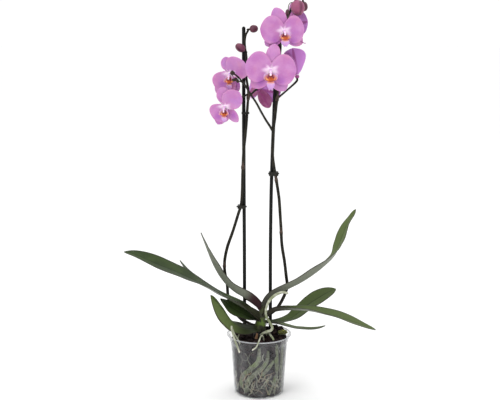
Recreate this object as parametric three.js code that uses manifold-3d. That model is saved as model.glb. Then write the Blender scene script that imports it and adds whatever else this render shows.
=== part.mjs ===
// A potted moth orchid: two flower spikes tied to stakes, nine leaves and climbing roots
// in a clear nursery pot.
// Millimetres, +Z up, +X to the viewer's right, +Y away from the viewer.
// The origin is the centre of the pot's flat underside.
import * as THREE from 'three';
import { mergeVertices } from 'three/addons/utils/BufferGeometryUtils.js';
import Module from 'manifold-3d';

const wasm = await Module();
wasm.setup();

// ---------------------------------------------------------------- driving dimensions

const GAP = 0.3; // clearance between pieces that touch
const AROUND = 28; // facets round the pot and the growing medium

const POT = {
  height: 112,
  baseRadius: 45.5,
  neckRadius: 52.5, // where the plain wall ends and the collar flares
  neckHeight: 97,
  collarRadius: 57,
  rimRadius: 60,
  wall: 1.2,
  floor: 1.6,
  notches: 8,
  notchWidth: 9,
  notchHeight: 4,
};

const MEDIUM = { bottom: 2, level: 102, chunk: 3.2, heap: 13, gap: 2.4 };
const ROOT_GAP = 0.7; // from the wall roots to the wall's rounded inside
const CROWN = {
  path: [[0, 1, 92], [1, 1, 112], [3, 0, 132], [6, -1, 150], [8, -2, 163]],
  radii: [12, 12, 10, 8, 4],
};

const STAKE_RADIUS = 3.2;
const STAKES = {
  stake_left: [[-27, 18, 12], [-27, 18, 230], [-28, 18, 451], [-28, 18, 668]],
  stake_right: [[22, 18, 12], [21, 18, 190], [21, 18, 285], [22, 18, 378], [24, 18, 451], [26, 18, 506],
    [28, 18, 560], [33, 18, 622], [35, 18, 644]],
};

// Fasteners: centre, size, and the way the two wings of a butterfly clip point.
const CLIPS = {
  clip_left_lower: { at: [-32, 15.5, 347], size: [15, 14, 6], wing: 2 },
  clip_right: { at: [26, 15, 408], size: [17, 15, 7], wing: 1.5 },
  tie_left_upper: { at: [-25, 15.7, 518], size: [14, 13, 3], wing: 0 },
};

// Leaves: midrib from the crown to the tip, full width, its share at the base, how far along the
// blade is widest, how much wider it is where it clasps the crown, how slowly it widens above its
// neck, the roll towards the viewer in degrees at even steps, and the angle at which each half
// folds up from the midrib.
const LEAF_THICKNESS = 2;
const LEAVES = {
  leaf_left_1: {
    path: [[3, -8, 140], [-9, -10, 150], [-29, -12, 164], [-56, -14, 181], [-81, -17, 196],
      [-102, -20, 208], [-140, -25, 229], [-182, -31, 249], [-225, -35, 269], [-242, -36, 274]],
    width: 54, base: 0.22, widest: 0.64, clasp: 0.9, neck: 2,
    roll: [40, -12, -4, 10, 16, 14], fold: [24, 8, 12, 12],
  },
  leaf_left_2: {
    path: [[2, 2, 153], [-4, 3, 161], [-13, 1, 170], [-27, -3, 181], [-44, -1, 191], [-61, 5, 205],
      [-74, 8, 222], [-85, 10, 243], [-94, 13, 265], [-101, 16, 283], [-107, 18, 298]],
    width: 31, base: 0.62, widest: 0.4, clasp: 0.15,
    roll: [-46, -48, -38, -32, -30, -20], fold: [38, 34, 26, 16],
  },
  leaf_left_3: {
    path: [[0, 4, 146], [-14, 5, 155], [-27, 6, 163], [-43, 10, 170], [-69, 18, 179], [-91, 24, 190],
      [-110, 30, 201], [-125, 35, 212], [-138, 38, 226], [-148, 41, 240]],
    width: 28, base: 0.16, widest: 0.6, clasp: 0, roll: [0, -2, -6, -8], fold: [30, 14, 10, 10],
  },
  leaf_left_4: {
    path: [[1, -7, 120], [-10, -10, 121], [-23, -13, 124], [-37, -17, 130], [-49, -22, 140],
      [-58, -25, 152], [-67, -26, 165], [-77, -26, 178], [-88, -25, 191]],
    width: 42, base: 0.45, widest: 0.5, clasp: 0, roll: [14, 24, 26, 20], fold: [14, -10, -26, -26, -16],
  },
  leaf_left_5: {
    path: [[-1, -4, 136], [-17, -6, 143], [-32, -8, 151], [-46, -9, 159], [-59, -9, 169], [-71, -10, 180]],
    width: 38, base: 0.5, widest: 0.45, clasp: 0, roll: [14, 24, 26, 20], fold: [28, 14, 6, 6],
  },
  leaf_right_1: {
    path: [[12, -3, 160], [23, -4, 179], [50, -4, 196], [74, -2, 208], [95, 0, 221], [120, 4, 240],
      [138, 8, 258], [149, 12, 281], [161, 16, 311], [172, 18, 330], [177, 20, 341]],
    width: 38, base: 0.5, widest: 0.72, clasp: 0.2,
    roll: [-40, -38, -35, -19, 2, 4], fold: [34, 24, 14, 12],
  },
  leaf_right_2: {
    path: [[8, 2, 134], [22, 4, 131], [41, 8, 131], [61, 14, 136], [75, 20, 145], [92, 26, 158],
      [111, 32, 169], [129, 38, 178], [145, 44, 184]],
    width: 38, base: 0.26, widest: 0.72, clasp: 0, roll: [0, 6, 14, 22, 24], fold: [14, 14, 12, 8],
  },
  leaf_right_3: {
    path: [[9, -8, 147], [23, -14, 156], [38, -19, 161], [56, -25, 164], [75, -30, 165], [97, -35, 164],
      [118, -39, 160], [138, -42, 156], [158, -45, 150], [177, -48, 144], [195, -50, 138], [209, -52, 134]],
    width: 38, base: 0.26, widest: 0.64, clasp: 0.6, roll: [0, -8, -4, 2, 6, 6], fold: [34, 24, 16, 14],
  },
  leaf_right_4: {
    path: [[1, 4, 121], [4, 22, 121], [14, 33, 121], [32, 37, 119], [52, 37, 114], [68, 37, 110],
      [83, 38, 108], [100, 39, 107], [115, 40, 109], [126, 41, 113]],
    width: 25, base: 0.4, widest: 0.6, clasp: 0, roll: [0, -4, -6, -6], fold: [24, 16, 10, 8],
  },
};

// Flower spikes: the main stem, its radii at even steps, and the swollen joints on it.
const SPIKE_LEFT = {
  path: [[0, 3, 124], [-12, 7, 125], [-22, 9, 129], [-32, 11, 134], [-42, 20, 142], [-53, 32, 153],
    [-58, 39, 171], [-60, 40, 196], [-64, 36, 221], [-64, 31, 241], [-59, 25, 268], [-48, 20, 301],
    [-38, 16, 334], [-33, 13, 351], [-31, 12, 379], [-30, 11, 416], [-28, 11, 452], [-25, 12, 479],
    [-23, 13, 503], [-22, 14, 520], [-21, 14, 533],
    [-20, 12, 546], [-20, 10, 560], [-23, 8, 580], [-24, 8, 599], [-23, 10, 617], [-25, 11, 631],
    [-26, 12, 645], [-24, 12, 657], [-20, 12, 664]],
  radii: [3, 2.9, 2.9, 2.7, 2.6, 2.5, 2.2, 1.8],
  joints: [[-64, 33, 231], [-30, 11, 420], [-20, 12, 546]],
};
const SPIKE_RIGHT = {
  path: [[6, 3, 139], [16, 9, 143], [25, 12, 148], [34, 14, 156], [46, 18, 176], [52, 19, 195],
    [50, 18, 218], [47, 18, 243], [42, 17, 275], [40, 16, 308], [38, 15, 338], [36, 14, 364],
    [32, 12, 390], [29, 11, 408], [26, 10, 425],
    [24, 10, 443], [24, 10, 467], [25, 10, 488], [28, 10, 510], [30, 10, 531], [32, 10, 546], [32, 10, 564],
    [33, 10, 587], [35, 10, 613], [37, 12, 631], [38, 14, 648], [44, 17, 669], [50, 19, 686], [56, 19, 702],
    [63, 18, 716], [66, 17, 722], [70, 16, 725], [73, 14, 721]],
  radii: [3, 3, 2.9, 2.8, 2.7, 2.6, 2.3, 1.6],
  joints: [[40, 16, 299], [31, 12, 396], [32, 10, 544], [47, 18, 678]],
};
const SIDE_BRANCH = {
  path: [[24, 10, 486], [19, 5, 495], [12, -2, 506], [3, -10, 522], [-6, -18, 539], [-15, -26, 553],
    [-24, -33, 568], [-28, -37, 574], [-34, -40, 581], [-41, -43, 588], [-46, -45, 591]],
  radii: [2.2, 1.9, 1.8, 1.5],
  twig: [[-26, -35, 572], [-33, -40, 577], [-39, -43, 578], [-44, -46, 580]],
  knobs: [[-47, -45, 592, 3.2], [-45, -46, 580, 2.2], [-41, -44, 581, 2.4], [-38, -42, 578, 2.4]],
};
// Closed buds: centre, the way the tip points, length and width, and where the stalk leaves the spike.
const BUDS = {
  bud_left_1: { at: [-10, 12, 667], tip: [0.9, 0, 0.1], size: [15, 14], from: [-20, 12, 664] },
  bud_left_2: { at: [-34, 6, 634], tip: [-0.8, -0.2, 0.55], size: [19, 15], from: [-24, 10, 624] },
  bud_right_1: { at: [67, 4, 703], tip: [0.1, -0.4, -0.8], size: [27, 25], from: [50, 19, 686] },
  bud_right_2: { at: [79, 25, 706], tip: [0.2, 0.3, -0.9], size: [17, 14], from: [72, 14, 722] },
  bud_right_3: { at: [50, 30, 695], tip: [0, 0.3, 0.9], size: [13, 8], from: [48, 18, 680] },
};

// Open flowers: the point where the five tepals meet, the way the flower faces (yaw to the
// viewer's right and pitch up, in degrees), its size against the largest, how far the tepals close
// forward in degrees, and where its stalk leaves the spike. fan, reach and spread give the
// direction in degrees clockwise from the flower's top, and the length and width against the full
// ones, of the dorsal sepal, the right and left sepals and the right and left petals.
const BLOOMS = {
  bloom_1: {
    at: [42, -14, 664], faces: [12, 0], size: 0.9, close: 12, from: [38, 14, 646],
    fan: [-23, 125, -127, 85, -86], reach: [1, 1.08, 1.1, 0.88, 1.08], spread: [1, 1, 1, 1, 1],
  },
  bloom_2: {
    at: [19, -30, 597], faces: [0, 0], size: 1, close: 6, from: [33, 10, 575],
    fan: [10, 144, -133, 91, -77], reach: [0.95, 1.05, 1.04, 0.98, 0.98], spread: [0.86, 1, 1, 1, 1],
  },
  bloom_3: {
    at: [60, 40, 674], faces: [125, 0], size: 0.85, close: 10, from: [50, 19, 684],
    fan: [0, 139, -139, 82, -82], reach: [1, 1, 1, 1, 1], spread: [1, 1, 1, 1, 0.9],
  },
  bloom_4: {
    at: [-1, 36, 558], faces: [146, -10], size: 0.85, close: 30, from: [-20, 12, 546],
    fan: [0, 98, -148, 66, -92], reach: [1, 0.8, 1.12, 1, 1.06], spread: [1, 0.75, 0.95, 1, 0.86],
  },
  bloom_5: {
    at: [68, 30, 584], faces: [180, 58], size: 0.85, close: 52, from: [32, 10, 544],
    fan: [46, 146, 168, 104, 16], reach: [1.25, 0.9, 0.7, 0.9, 1.32], spread: [0.8, 0.8, 0.45, 1, 0.88],
  },
  bloom_6: {
    at: [-52, -6, 590], faces: [-20, -20], size: 0.89, close: 14, from: [-24, 8, 590],
    fan: [-6, 160, -144, 52, -146], reach: [0.76, 0.96, 1.36, 1.02, 1],
    spread: [0.95, 0.7, 1, 0.94, 0.95],
  },
  bloom_7: {
    at: [-61, -10, 532], faces: [-20, -20], size: 0.85, close: 14, from: [-20, 11, 552],
    fan: [4, 144, -152, 48, -138], reach: [0.96, 1.02, 1.12, 1.22, 0.84],
    spread: [1.1, 0.8, 0.9, 0.8, 0.86],
  },
};

// Aerial roots outside the medium: path and radii.
const AERIAL_ROOTS = {
  aerial_root_1: {
    path: [[2, -8, 110], [6, -15, 115], [14, -22, 121], [21, -24, 124], [24, -23, 129],
      [19, -22, 139], [13, -25, 151], [12, -27, 162], [15, -27, 175], [22, -25, 185],
      [32, -22, 192], [43, -20, 195], [51, -19, 193]],
    radii: [2, 2.6, 2.3, 2.2, 2.7, 2.2],
  },
  aerial_root_2: {
    path: [[9, -20, 103], [7, -28, 114], [3, -46, 120], [0, -59, 117], [-3, -63.5, 111], [-6, -61, 104],
      [-12, -57, 98]],
    radii: [1.2, 1.3, 1.3, 1.3, 1.3, 1.3, 1.2],
  },
  aerial_root_3: {
    path: [[-34, -34, 99], [-38, -37, 110], [-44, -41, 121], [-48, -46, 132], [-50, -50, 140],
      [-50, -54, 137], [-48, -56, 129], [-45, -56, 119], [-42, -54, 110], [-39, -52, 101],
      [-36, -51, 92]],
    radii: [1.3, 1.4, 1.4, 1.5, 1.8, 1.4],
  },
  aerial_root_4: {
    path: [[12, 4, 105], [15, -6, 112], [18, -15, 115], [22, -22, 113], [26, -26, 107], [25, -24, 98]],
    radii: [1.4, 1.7, 1.8, 1.8, 1.8, 1.6],
  },
  loose_root: {
    path: [[-4, 4, 112], [-11, -1, 118], [-20, -2, 119], [-30, -3, 118], [-37, -5, 110], [-40, -7, 98]],
    radii: [1.1, 1.2, 1.2, 1.2, 1.2, 1.1],
  },
};

// Small things that lie on the medium: centre, radius and height against the radius.
const TUFTS = {
  root_stub: { at: [-5, -13, 108], radius: 3.4, squash: 2.2, look: 'root' },
  moss_tuft: { at: [44, 2, 111], radius: 9, squash: 0.65, look: 'moss' },
};

// Roots pressed against the inside of the wall: [degrees round from the front, height], and radii.
const WALL_ROOTS = {
  wall_root_1: {
    path: [[0, 96], [-2, 74], [-18, 59], [-36, 46], [-48, 36], [-52, 18]], radii: [3.6, 5.2, 5, 4.2],
  },
  wall_root_2: {
    path: [[20, 90], [18, 73], [6, 59], [-8, 49], [-28, 33], [-35, 12]], radii: [3.2, 4.8, 5, 4],
  },
  wall_root_3: { path: [[33, 69], [25, 61], [15, 52], [4, 44]], radii: [3, 4, 3.6, 2.6] },
  wall_root_4: { path: [[42, 98], [44, 72], [46, 46], [40, 28], [24, 8]], radii: [4.2, 5.4, 5.2, 3.6] },
  wall_root_5: { path: [[64, 100], [64, 70], [66, 40]], radii: [3.4, 4.2, 3] },
};

// ---------------------------------------------------------------- materials

const MATERIALS = {
  clear_plastic: { color: 0xc9cdcb, roughness: 0.25, metalness: 0, transparent: true, opacity: 0.35 },
  growing_medium: { color: 0x3a2a2c, roughness: 0.95, metalness: 0 },
  stem_base: { color: 0x55602c, roughness: 0.6, metalness: 0 },
  stake: { color: 0x1c1e1c, roughness: 0.5, metalness: 0 },
  clip: { color: 0x23241f, roughness: 0.4, metalness: 0 },
  leaf: { color: 0x465b35, roughness: 0.45, metalness: 0 },
  spike: { color: 0x2e2a20, roughness: 0.5, metalness: 0 },
  bud: { color: 0x7a3a55, roughness: 0.5, metalness: 0 },
  tepal: { color: 0xc97fca, roughness: 0.6, metalness: 0 },
  lip: { color: 0xd98a5a, roughness: 0.5, metalness: 0 },
  root: { color: 0xa3a78a, roughness: 0.75, metalness: 0 },
  moss: { color: 0x6f7a34, roughness: 0.9, metalness: 0 },
};

const object = new THREE.Group();
const looks = Object.fromEntries(
  Object.entries(MATERIALS).map(([name, values]) => [name, new THREE.MeshStandardMaterial(values)]));

// ---------------------------------------------------------------- geometry kit

const { degToRad, lerp, smoothstep } = THREE.MathUtils;
const vector = (point) => new THREE.Vector3(point[0], point[1], point[2]);
const along = (path) => new THREE.CatmullRomCurve3(path.map(vector), false, 'centripetal');

// The value at t (0 to 1) of a list of values at even steps, eased from one to the next.
function valueAt(list, t) {
  const place = t * (list.length - 1);
  const index = Math.min(Math.floor(place), list.length - 2);
  return lerp(list[index], list[index + 1], smoothstep(place - index, 0, 1));
}

// A closed triangle mesh becomes a solid; its faces are turned to point outwards.
function solid(positions, triangles) {
  const [a, b, c] = [new THREE.Vector3(), new THREE.Vector3(), new THREE.Vector3()];
  let volume = 0;
  for (let i = 0; i < triangles.length; i += 3) {
    a.fromArray(positions, triangles[i] * 3);
    b.fromArray(positions, triangles[i + 1] * 3);
    c.fromArray(positions, triangles[i + 2] * 3);
    volume += a.dot(b.cross(c));
  }
  if (volume < 0) triangles.reverse();
  const mesh = new wasm.Mesh({
    numProp: 3,
    vertProperties: Float32Array.from(positions),
    triVerts: Uint32Array.from(triangles),
  });
  return new wasm.Manifold(mesh);
}

// A three.js geometry with merged vertices, without the empty triangles at a lathe's axis or a
// sphere's poles.
function solidOf(geometry) {
  geometry.deleteAttribute('normal');
  geometry.deleteAttribute('uv');
  const merged = mergeVertices(geometry);
  const index = merged.index.array;
  const triangles = [];
  for (let i = 0; i < index.length; i += 3) {
    const corners = [index[i], index[i + 1], index[i + 2]];
    if (new Set(corners).size === 3) triangles.push(...corners);
  }
  return solid(Array.from(merged.attributes.position.array), triangles);
}

const union = (solids) => solids.reduce((sum, next) => sum.add(next));

// The largest body of a join or cut, with the hollows that the join sealed filled in.
const larger = (a, b) => (b.volume() > a.volume() ? b : a);
const whole = (body) => body.decompose().reduce(larger);

function geometryOf(body) {
  const mesh = body.getMesh();
  const geometry = new THREE.BufferGeometry();
  geometry.setAttribute('position', new THREE.BufferAttribute(mesh.vertProperties, 3));
  geometry.setIndex(new THREE.BufferAttribute(mesh.triVerts, 1));
  geometry.computeVertexNormals();
  return geometry;
}

function place(parent, name, body, look) {
  const mesh = new THREE.Mesh(geometryOf(body), looks[look]);
  mesh.name = name;
  parent.add(mesh);
}

// A thin closed blade over a grid of points. Both faces are split into triangles alike.
function blade(grid, thicknessAt) {
  const [rows, columns] = [grid.length, grid[0].length];
  const front = [];
  const back = [];
  for (let i = 0; i < rows; i += 1) {
    for (let j = 0; j < columns; j += 1) {
      const alongBlade = grid[Math.min(i + 1, rows - 1)][j].clone().sub(grid[Math.max(i - 1, 0)][j]);
      const acrossBlade = grid[i][Math.min(j + 1, columns - 1)].clone().sub(grid[i][Math.max(j - 1, 0)]);
      const thickness = thicknessAt(i / (rows - 1), j / (columns - 1));
      const offset = alongBlade.cross(acrossBlade).setLength(thickness / 2);
      front.push(...grid[i][j].clone().add(offset).toArray());
      back.push(...grid[i][j].clone().sub(offset).toArray());
    }
  }
  const count = rows * columns;
  const triangles = [];
  for (let i = 0; i + 1 < rows; i += 1) {
    for (let j = 0; j + 1 < columns; j += 1) {
      const a = i * columns + j;
      const [b, c, d] = [a + columns, a + columns + 1, a + 1];
      triangles.push(a, b, c, a, c, d, count + c, count + b, count + a, count + d, count + c, count + a);
    }
  }
  const border = [];
  for (let j = 0; j + 1 < columns; j += 1) border.push(j);
  for (let i = 0; i + 1 < rows; i += 1) border.push(i * columns + columns - 1);
  for (let j = columns - 1; j > 0; j -= 1) border.push((rows - 1) * columns + j);
  for (let i = rows - 1; i > 0; i -= 1) border.push(i * columns);
  border.forEach((from, k) => {
    const to = border[(k + 1) % border.length];
    triangles.push(from, to, count + to, from, count + to, count + from);
  });
  return solid(front.concat(back), triangles);
}

// A tapered round stem along a smooth path, closed at both ends.
function stem(path, radii, sides, steps, grow = 0) {
  const curve = along(path);
  const frames = curve.computeFrenetFrames(steps, false);
  const positions = [];
  const triangles = [];
  for (let i = 0; i <= steps; i += 1) {
    const centre = curve.getPointAt(i / steps);
    const radius = valueAt(radii, i / steps) + grow;
    for (let j = 0; j < sides; j += 1) {
      const angle = (2 * Math.PI * j) / sides;
      const point = centre.clone()
        .addScaledVector(frames.normals[i], radius * Math.cos(angle))
        .addScaledVector(frames.binormals[i], radius * Math.sin(angle));
      positions.push(...point.toArray());
    }
  }
  for (let i = 0; i < steps; i += 1) {
    for (let j = 0; j < sides; j += 1) {
      const next = (j + 1) % sides;
      const [a, b, c, d] = [i * sides + j, i * sides + next, (i + 1) * sides + next, (i + 1) * sides + j];
      triangles.push(a, b, c, a, c, d);
    }
  }
  const last = steps * sides;
  for (let j = 1; j + 1 < sides; j += 1) triangles.push(0, j + 1, j, last, last + j, last + j + 1);
  return solid(positions, triangles);
}

function ball(at, radius, squash = 1) {
  const sphere = new THREE.SphereGeometry(radius, 6, 4);
  sphere.scale(1, 1, squash);
  sphere.translate(at[0], at[1], at[2]);
  return solidOf(sphere);
}

function box(size, at, turn = 0) {
  const geometry = new THREE.BoxGeometry(size[0], size[1], size[2]);
  geometry.translate(at[0], at[1], at[2]);
  geometry.rotateZ(turn);
  return solidOf(geometry);
}

// A profile of [radius, height] points turned about the pot's axis.
function revolve(profile) {
  const lathe = new THREE.LatheGeometry(profile.map(([r, z]) => new THREE.Vector2(r, z)), AROUND);
  lathe.rotateX(Math.PI / 2);
  return lathe;
}

// ---------------------------------------------------------------- pot and growing medium

const wallSlope = (POT.neckRadius - POT.baseRadius) / POT.neckHeight;
const innerRadius = (z) => POT.baseRadius + wallSlope * z - POT.wall;

function pot() {
  const { wall, floor, height, neckRadius, neckHeight, collarRadius, rimRadius } = POT;
  const profile = [
    [0, 0], [POT.baseRadius - 1, 0], [POT.baseRadius, 1], [neckRadius, neckHeight],
    [neckRadius + 1.5, neckHeight + 1], [collarRadius, height - 3], [rimRadius - 0.8, height - 2.4],
    [rimRadius, height - 1.2], [rimRadius - 0.8, height], [collarRadius - 0.6, height - 0.6],
    [collarRadius - wall, height - 2.4], [neckRadius + 1.5 - wall, neckHeight + 2],
    [innerRadius(neckHeight), neckHeight], [innerRadius(floor) - 0.6, floor], [0, floor],
  ];
  const notches = Array.from({ length: POT.notches }, (_, k) => box(
    [POT.notchWidth, 10, 2 * POT.notchHeight], [0, -POT.baseRadius, 0],
    (2 * Math.PI * (k + 0.5)) / POT.notches));
  return notches.reduce((shell, notch) => shell.subtract(notch), solidOf(revolve(profile)));
}

// Bark lumps on the medium's top and its heap at the right, in millimetres above or below its level.
function lump(x, y) {
  const coarse = Math.sin(0.24 * x + 1.1) * Math.cos(0.21 * y - 0.5);
  const fine = Math.sin(0.61 * x - 0.37 * y) * Math.cos(0.52 * y + 0.3 * x);
  const heap = Math.exp(-((x - 28) ** 2 + (y - 22) ** 2) / 600);
  return MEDIUM.chunk * (0.6 * coarse + 0.5 * fine) + MEDIUM.heap * heap;
}

function mediumBody() {
  const { bottom, level, gap } = MEDIUM;
  const foot = innerRadius(bottom) - 0.6 - gap;
  const edge = innerRadius(POT.neckHeight) - gap;
  const geometry = revolve([[0, bottom], [foot, bottom], [edge, POT.neckHeight - 1],
    [edge + 1.5, level - 1.5], [edge - 1.5, level + 0.5], [38, level], [26, level + 1],
    [13, level + 2], [0, level + 2]]);
  const points = geometry.attributes.position;
  for (let i = 0; i < points.count; i += 1) {
    if (points.getZ(i) > level - 3) {
      points.setZ(i, points.getZ(i) + lump(points.getX(i), points.getY(i)));
    }
  }
  return solidOf(geometry);
}

// The path of a root that lies against the inside of the wall.
function wallPath({ path, radii }) {
  const widest = Math.max(...radii);
  return path.map(([degrees, z]) => {
    const reach = innerRadius(z) - widest - ROOT_GAP;
    return [reach * Math.sin(degToRad(degrees)), -reach * Math.cos(degToRad(degrees)), z];
  });
}

const wallRoot = (root, grow) => stem(wallPath(root), root.radii, 5, 7, grow);
const stake = (path, grow) => stem(path, [STAKE_RADIUS, STAKE_RADIUS], 8, path.length - 1, grow);
const crown = (grow) => stem(CROWN.path, CROWN.radii, 10, 5, grow);
const aerialRoot = ({ path, radii }, grow) => stem(path, radii, 5, path.length + 3, grow);
const tuft = ({ at, radius, squash }, grow) => ball(at, radius + grow, squash);

// ---------------------------------------------------------------- leaves

const LEAF_STEP = 28; // millimetres along the blade
const LEAF_ACROSS = [-1, -0.55, 0, 0.55, 1];
const CLASP_REACH = 0.25; // share of the blade that clasps the crown

// Half of a blade's width at u (0 at its foot, 1 at the tip).
function outline(u, { width, base, widest, clasp = 0, neck = 1, blunt = 1.9 }) {
  const foot = 1 + clasp * Math.max(1 - u / CLASP_REACH, 0);
  if (u < widest) return (width / 2) * foot * lerp(base, 1, Math.sin((Math.PI / 2) * (u / widest)) ** neck);
  const t = (u - widest) / (1 - widest);
  return Math.max((width / 2) * (1 - t ** blunt) ** (1 / 1.5), 1);
}

function leaf(spec) {
  const curve = along(spec.path);
  const steps = Math.round(curve.getLength() / LEAF_STEP) + 2;
  const grid = [];
  for (let i = 0; i <= steps; i += 1) {
    const u = 1 - (1 - i / steps) ** 1.3;
    const centre = curve.getPointAt(u);
    const forward = curve.getTangentAt(u);
    const away = forward.clone().cross(new THREE.Vector3(0, 0, 1)).normalize();
    if (away.y < 0) away.negate();
    const up = away.clone().cross(forward);
    if (up.z < 0) up.negate();
    const roll = degToRad(valueAt(spec.roll, u));
    const fold = degToRad(valueAt(spec.fold, u));
    const across = away.clone().multiplyScalar(Math.cos(roll)).addScaledVector(up, Math.sin(roll));
    const face = up.clone().multiplyScalar(Math.cos(roll)).addScaledVector(away, -Math.sin(roll));
    grid.push(LEAF_ACROSS.map((s) => centre.clone()
      .addScaledVector(across, s * outline(u, spec) * Math.cos(fold))
      .addScaledVector(face, Math.abs(s) ** 1.3 * outline(u, spec) * Math.sin(fold))));
  }
  return blade(grid, (u, v) => LEAF_THICKNESS * (1 - 0.5 * Math.abs(2 * v - 1)));
}

// ---------------------------------------------------------------- flowers and buds

// Tepals of the largest flower. setback is how far one starts behind the flower's plane, and arch
// bends it back towards its tip and edges.
const SEPAL = { width: 30, claw: 0.26, widest: 0.5, setback: 2.8, arch: 0.14, strips: 2 };
const PETAL = { width: 54, claw: 0.38, widest: 0.48, setback: 0.4, arch: 0.06, strips: 4 };
const TEPALS = [
  { ...SEPAL, length: 48 }, { ...SEPAL, length: 43 }, { ...SEPAL, length: 43 },
  { ...PETAL, length: 46 }, { ...PETAL, length: 46 },
];
const TEPAL_STEPS = 5;
const TEPAL_THICKNESS = 0.9;
const FLOWER_BACK = 6.75; // from the flower's plane to the flat back of the ball in its middle

// The flower lies in the XY plane, faces +Z and has its top at +Y. All its tepals follow one round
// cone, the sepals a little behind the petals, so they overlap without crossing.
function tepal(shape, azimuth, reach, spread, close) {
  const turn = degToRad(azimuth);
  const lean = degToRad(close);
  const grid = [];
  for (let i = 0; i <= TEPAL_STEPS; i += 1) {
    const u = Math.sin((Math.PI / 2) * (i / TEPAL_STEPS));
    const { width, claw, widest } = shape;
    const half = spread * outline(u, { width, base: claw, widest, blunt: 2.4 });
    const y = shape.length * reach * u * Math.cos(lean);
    const row = [];
    for (let j = 0; j <= shape.strips; j += 1) {
      const x = half * ((2 * j) / shape.strips - 1);
      const radius = Math.hypot(x, y);
      row.push(new THREE.Vector3(
        x * Math.cos(turn) + y * Math.sin(turn),
        y * Math.cos(turn) - x * Math.sin(turn),
        radius * Math.tan(lean) - (shape.arch * radius * radius) / shape.length - shape.setback));
    }
    grid.push(row);
  }
  return blade(grid, () => TEPAL_THICKNESS);
}

function tepals({ size, close, fan, reach, spread }) {
  const blades = TEPALS.map((shape, k) => tepal(shape, fan[k], reach[k], spread[k], close));
  return whole(union([ball([0, 0, -2.4], 5), ...blades])).scale([size, size, size]);
}

// The lip: two round side lobes that cup the throat, a middle lobe that hangs forward, and the
// column above them.
function sideLobe(side) {
  const grid = [];
  for (let i = 0; i <= 3; i += 1) {
    const u = i / 3;
    const half = 7 * Math.sqrt(1 - (0.97 * Math.max(u - 0.4, 0) / 0.6) ** 2);
    grid.push([-1, 0, 1].map((s) => new THREE.Vector3(
      side * (1 + 12 * u), -15 + s * half + 2 * u, 5.5 - 1.5 * s + 3 * u + 3 * u * u)));
  }
  return blade(grid, () => 1);
}

function middleLobe() {
  const grid = [];
  for (let i = 0; i <= 3; i += 1) {
    const u = i / 3;
    const half = 1 + 6.5 * Math.sin(Math.PI * (0.12 + 0.8 * u)) ** 1.2;
    grid.push([-1, 0, 1].map((s) => new THREE.Vector3(
      s * half, -19 - 18 * u, 10 + 8 * u - 6 * u * u + 1.5 * Math.abs(s))));
  }
  return blade(grid, () => 1);
}

// It is drawn together in a flower that is half closed.
function lip({ size, close }) {
  const narrow = size * (1 - close / 65);
  const knob = [[0, -0.5, 2.6], [0, -2.5, 6.5], [0, -6, 10], [0, -8, 11.5]];
  const column = stem(knob, [2.6, 2.4, 2.8, 1.6], 5, 3);
  const claw = stem([[0, -3, 4.4], [0, -10, 6.6], [0, -20.5, 10.5]], [2.4, 3, 2.2], 5, 2);
  const lip = whole(union([column, claw, sideLobe(1), sideLobe(-1), middleLobe()]));
  return lip.scale([narrow, narrow, size]);
}

function bloomTurn([yaw, pitch]) {
  const about = (x, y, z, degrees) => new THREE.Quaternion()
    .setFromAxisAngle(new THREE.Vector3(x, y, z), degToRad(degrees));
  return about(0, 0, 1, yaw).multiply(about(1, 0, 0, 90 - pitch));
}

function bloom(name, spec) {
  const group = new THREE.Group();
  group.position.set(...spec.at);
  group.quaternion.copy(bloomTurn(spec.faces));
  place(group, `${name}_tepals`, tepals(spec), 'tepal');
  place(group, `${name}_lip`, lip(spec), 'lip');
  object.add(group);
}

// The stalk of an open flower runs from its spike to the back of the flower.
function bloomStalk(spec) {
  const turn = bloomTurn(spec.faces);
  const seat = FLOWER_BACK * spec.size + GAP;
  const behind = (depth) => (
    vector(spec.at).add(new THREE.Vector3(0, -0.1 * depth, -depth).applyQuaternion(turn)));
  return stem([spec.from, behind(seat + 3).toArray(), behind(seat).toArray()], [1.8, 1.8, 2], 5, 4);
}

function bud({ at, tip, size: [length, width] }) {
  const sphere = new THREE.SphereGeometry(0.5, 8, 6);
  sphere.scale(width, length, width);
  const up = new THREE.Vector3(0, 1, 0);
  sphere.applyQuaternion(new THREE.Quaternion().setFromUnitVectors(up, vector(tip).normalize()));
  sphere.translate(...at);
  return solidOf(sphere);
}

function budStalk({ at, tip, size: [length], from }) {
  const way = vector(tip).normalize();
  const seat = vector(at).addScaledVector(way, -(length / 2 + GAP));
  const bend = seat.clone().addScaledVector(way, -4);
  return stem([from, bend.toArray(), seat.toArray()], [1.7, 1.6, 1.5], 5, 4);
}

// ---------------------------------------------------------------- flower spikes

function spikeStem({ path, radii, joints }) {
  const rings = joints.map((at) => ball(at, 3.6, 1.2));
  return union([stem(path, radii, 5, 27), ...rings]);
}

function sideBranch() {
  const { path, radii, twig, knobs } = SIDE_BRANCH;
  const swollen = knobs.map(([x, y, z, r]) => ball([x, y, z], r));
  return [stem(path, radii, 5, 10), stem(twig, [1.2, 1], 5, 3), ...swollen];
}

function spike(spec, buds, blooms, extras) {
  const grown = union([spikeStem(spec), ...buds.map((name) => budStalk(BUDS[name])),
    ...blooms.map((name) => bloomStalk(BLOOMS[name])), ...extras]);
  return grown.subtract(crown(GAP));
}

// ---------------------------------------------------------------- fasteners

// A small block with a clean hole for the stake and one for the spike, and two wings to pinch it by.
function clip({ at, size, wing }, threads) {
  const [x, y, z] = at;
  const parts = [box(size, at)];
  if (wing > 0) {
    parts.push(box([size[0] + 2 * wing, 3, 2.5], [x, y - size[1] / 2 + 1.5, z + 1]));
  }
  return threads.reduce((body, thread) => body.subtract(thread), union(parts));
}

// ---------------------------------------------------------------- the whole plant

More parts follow.
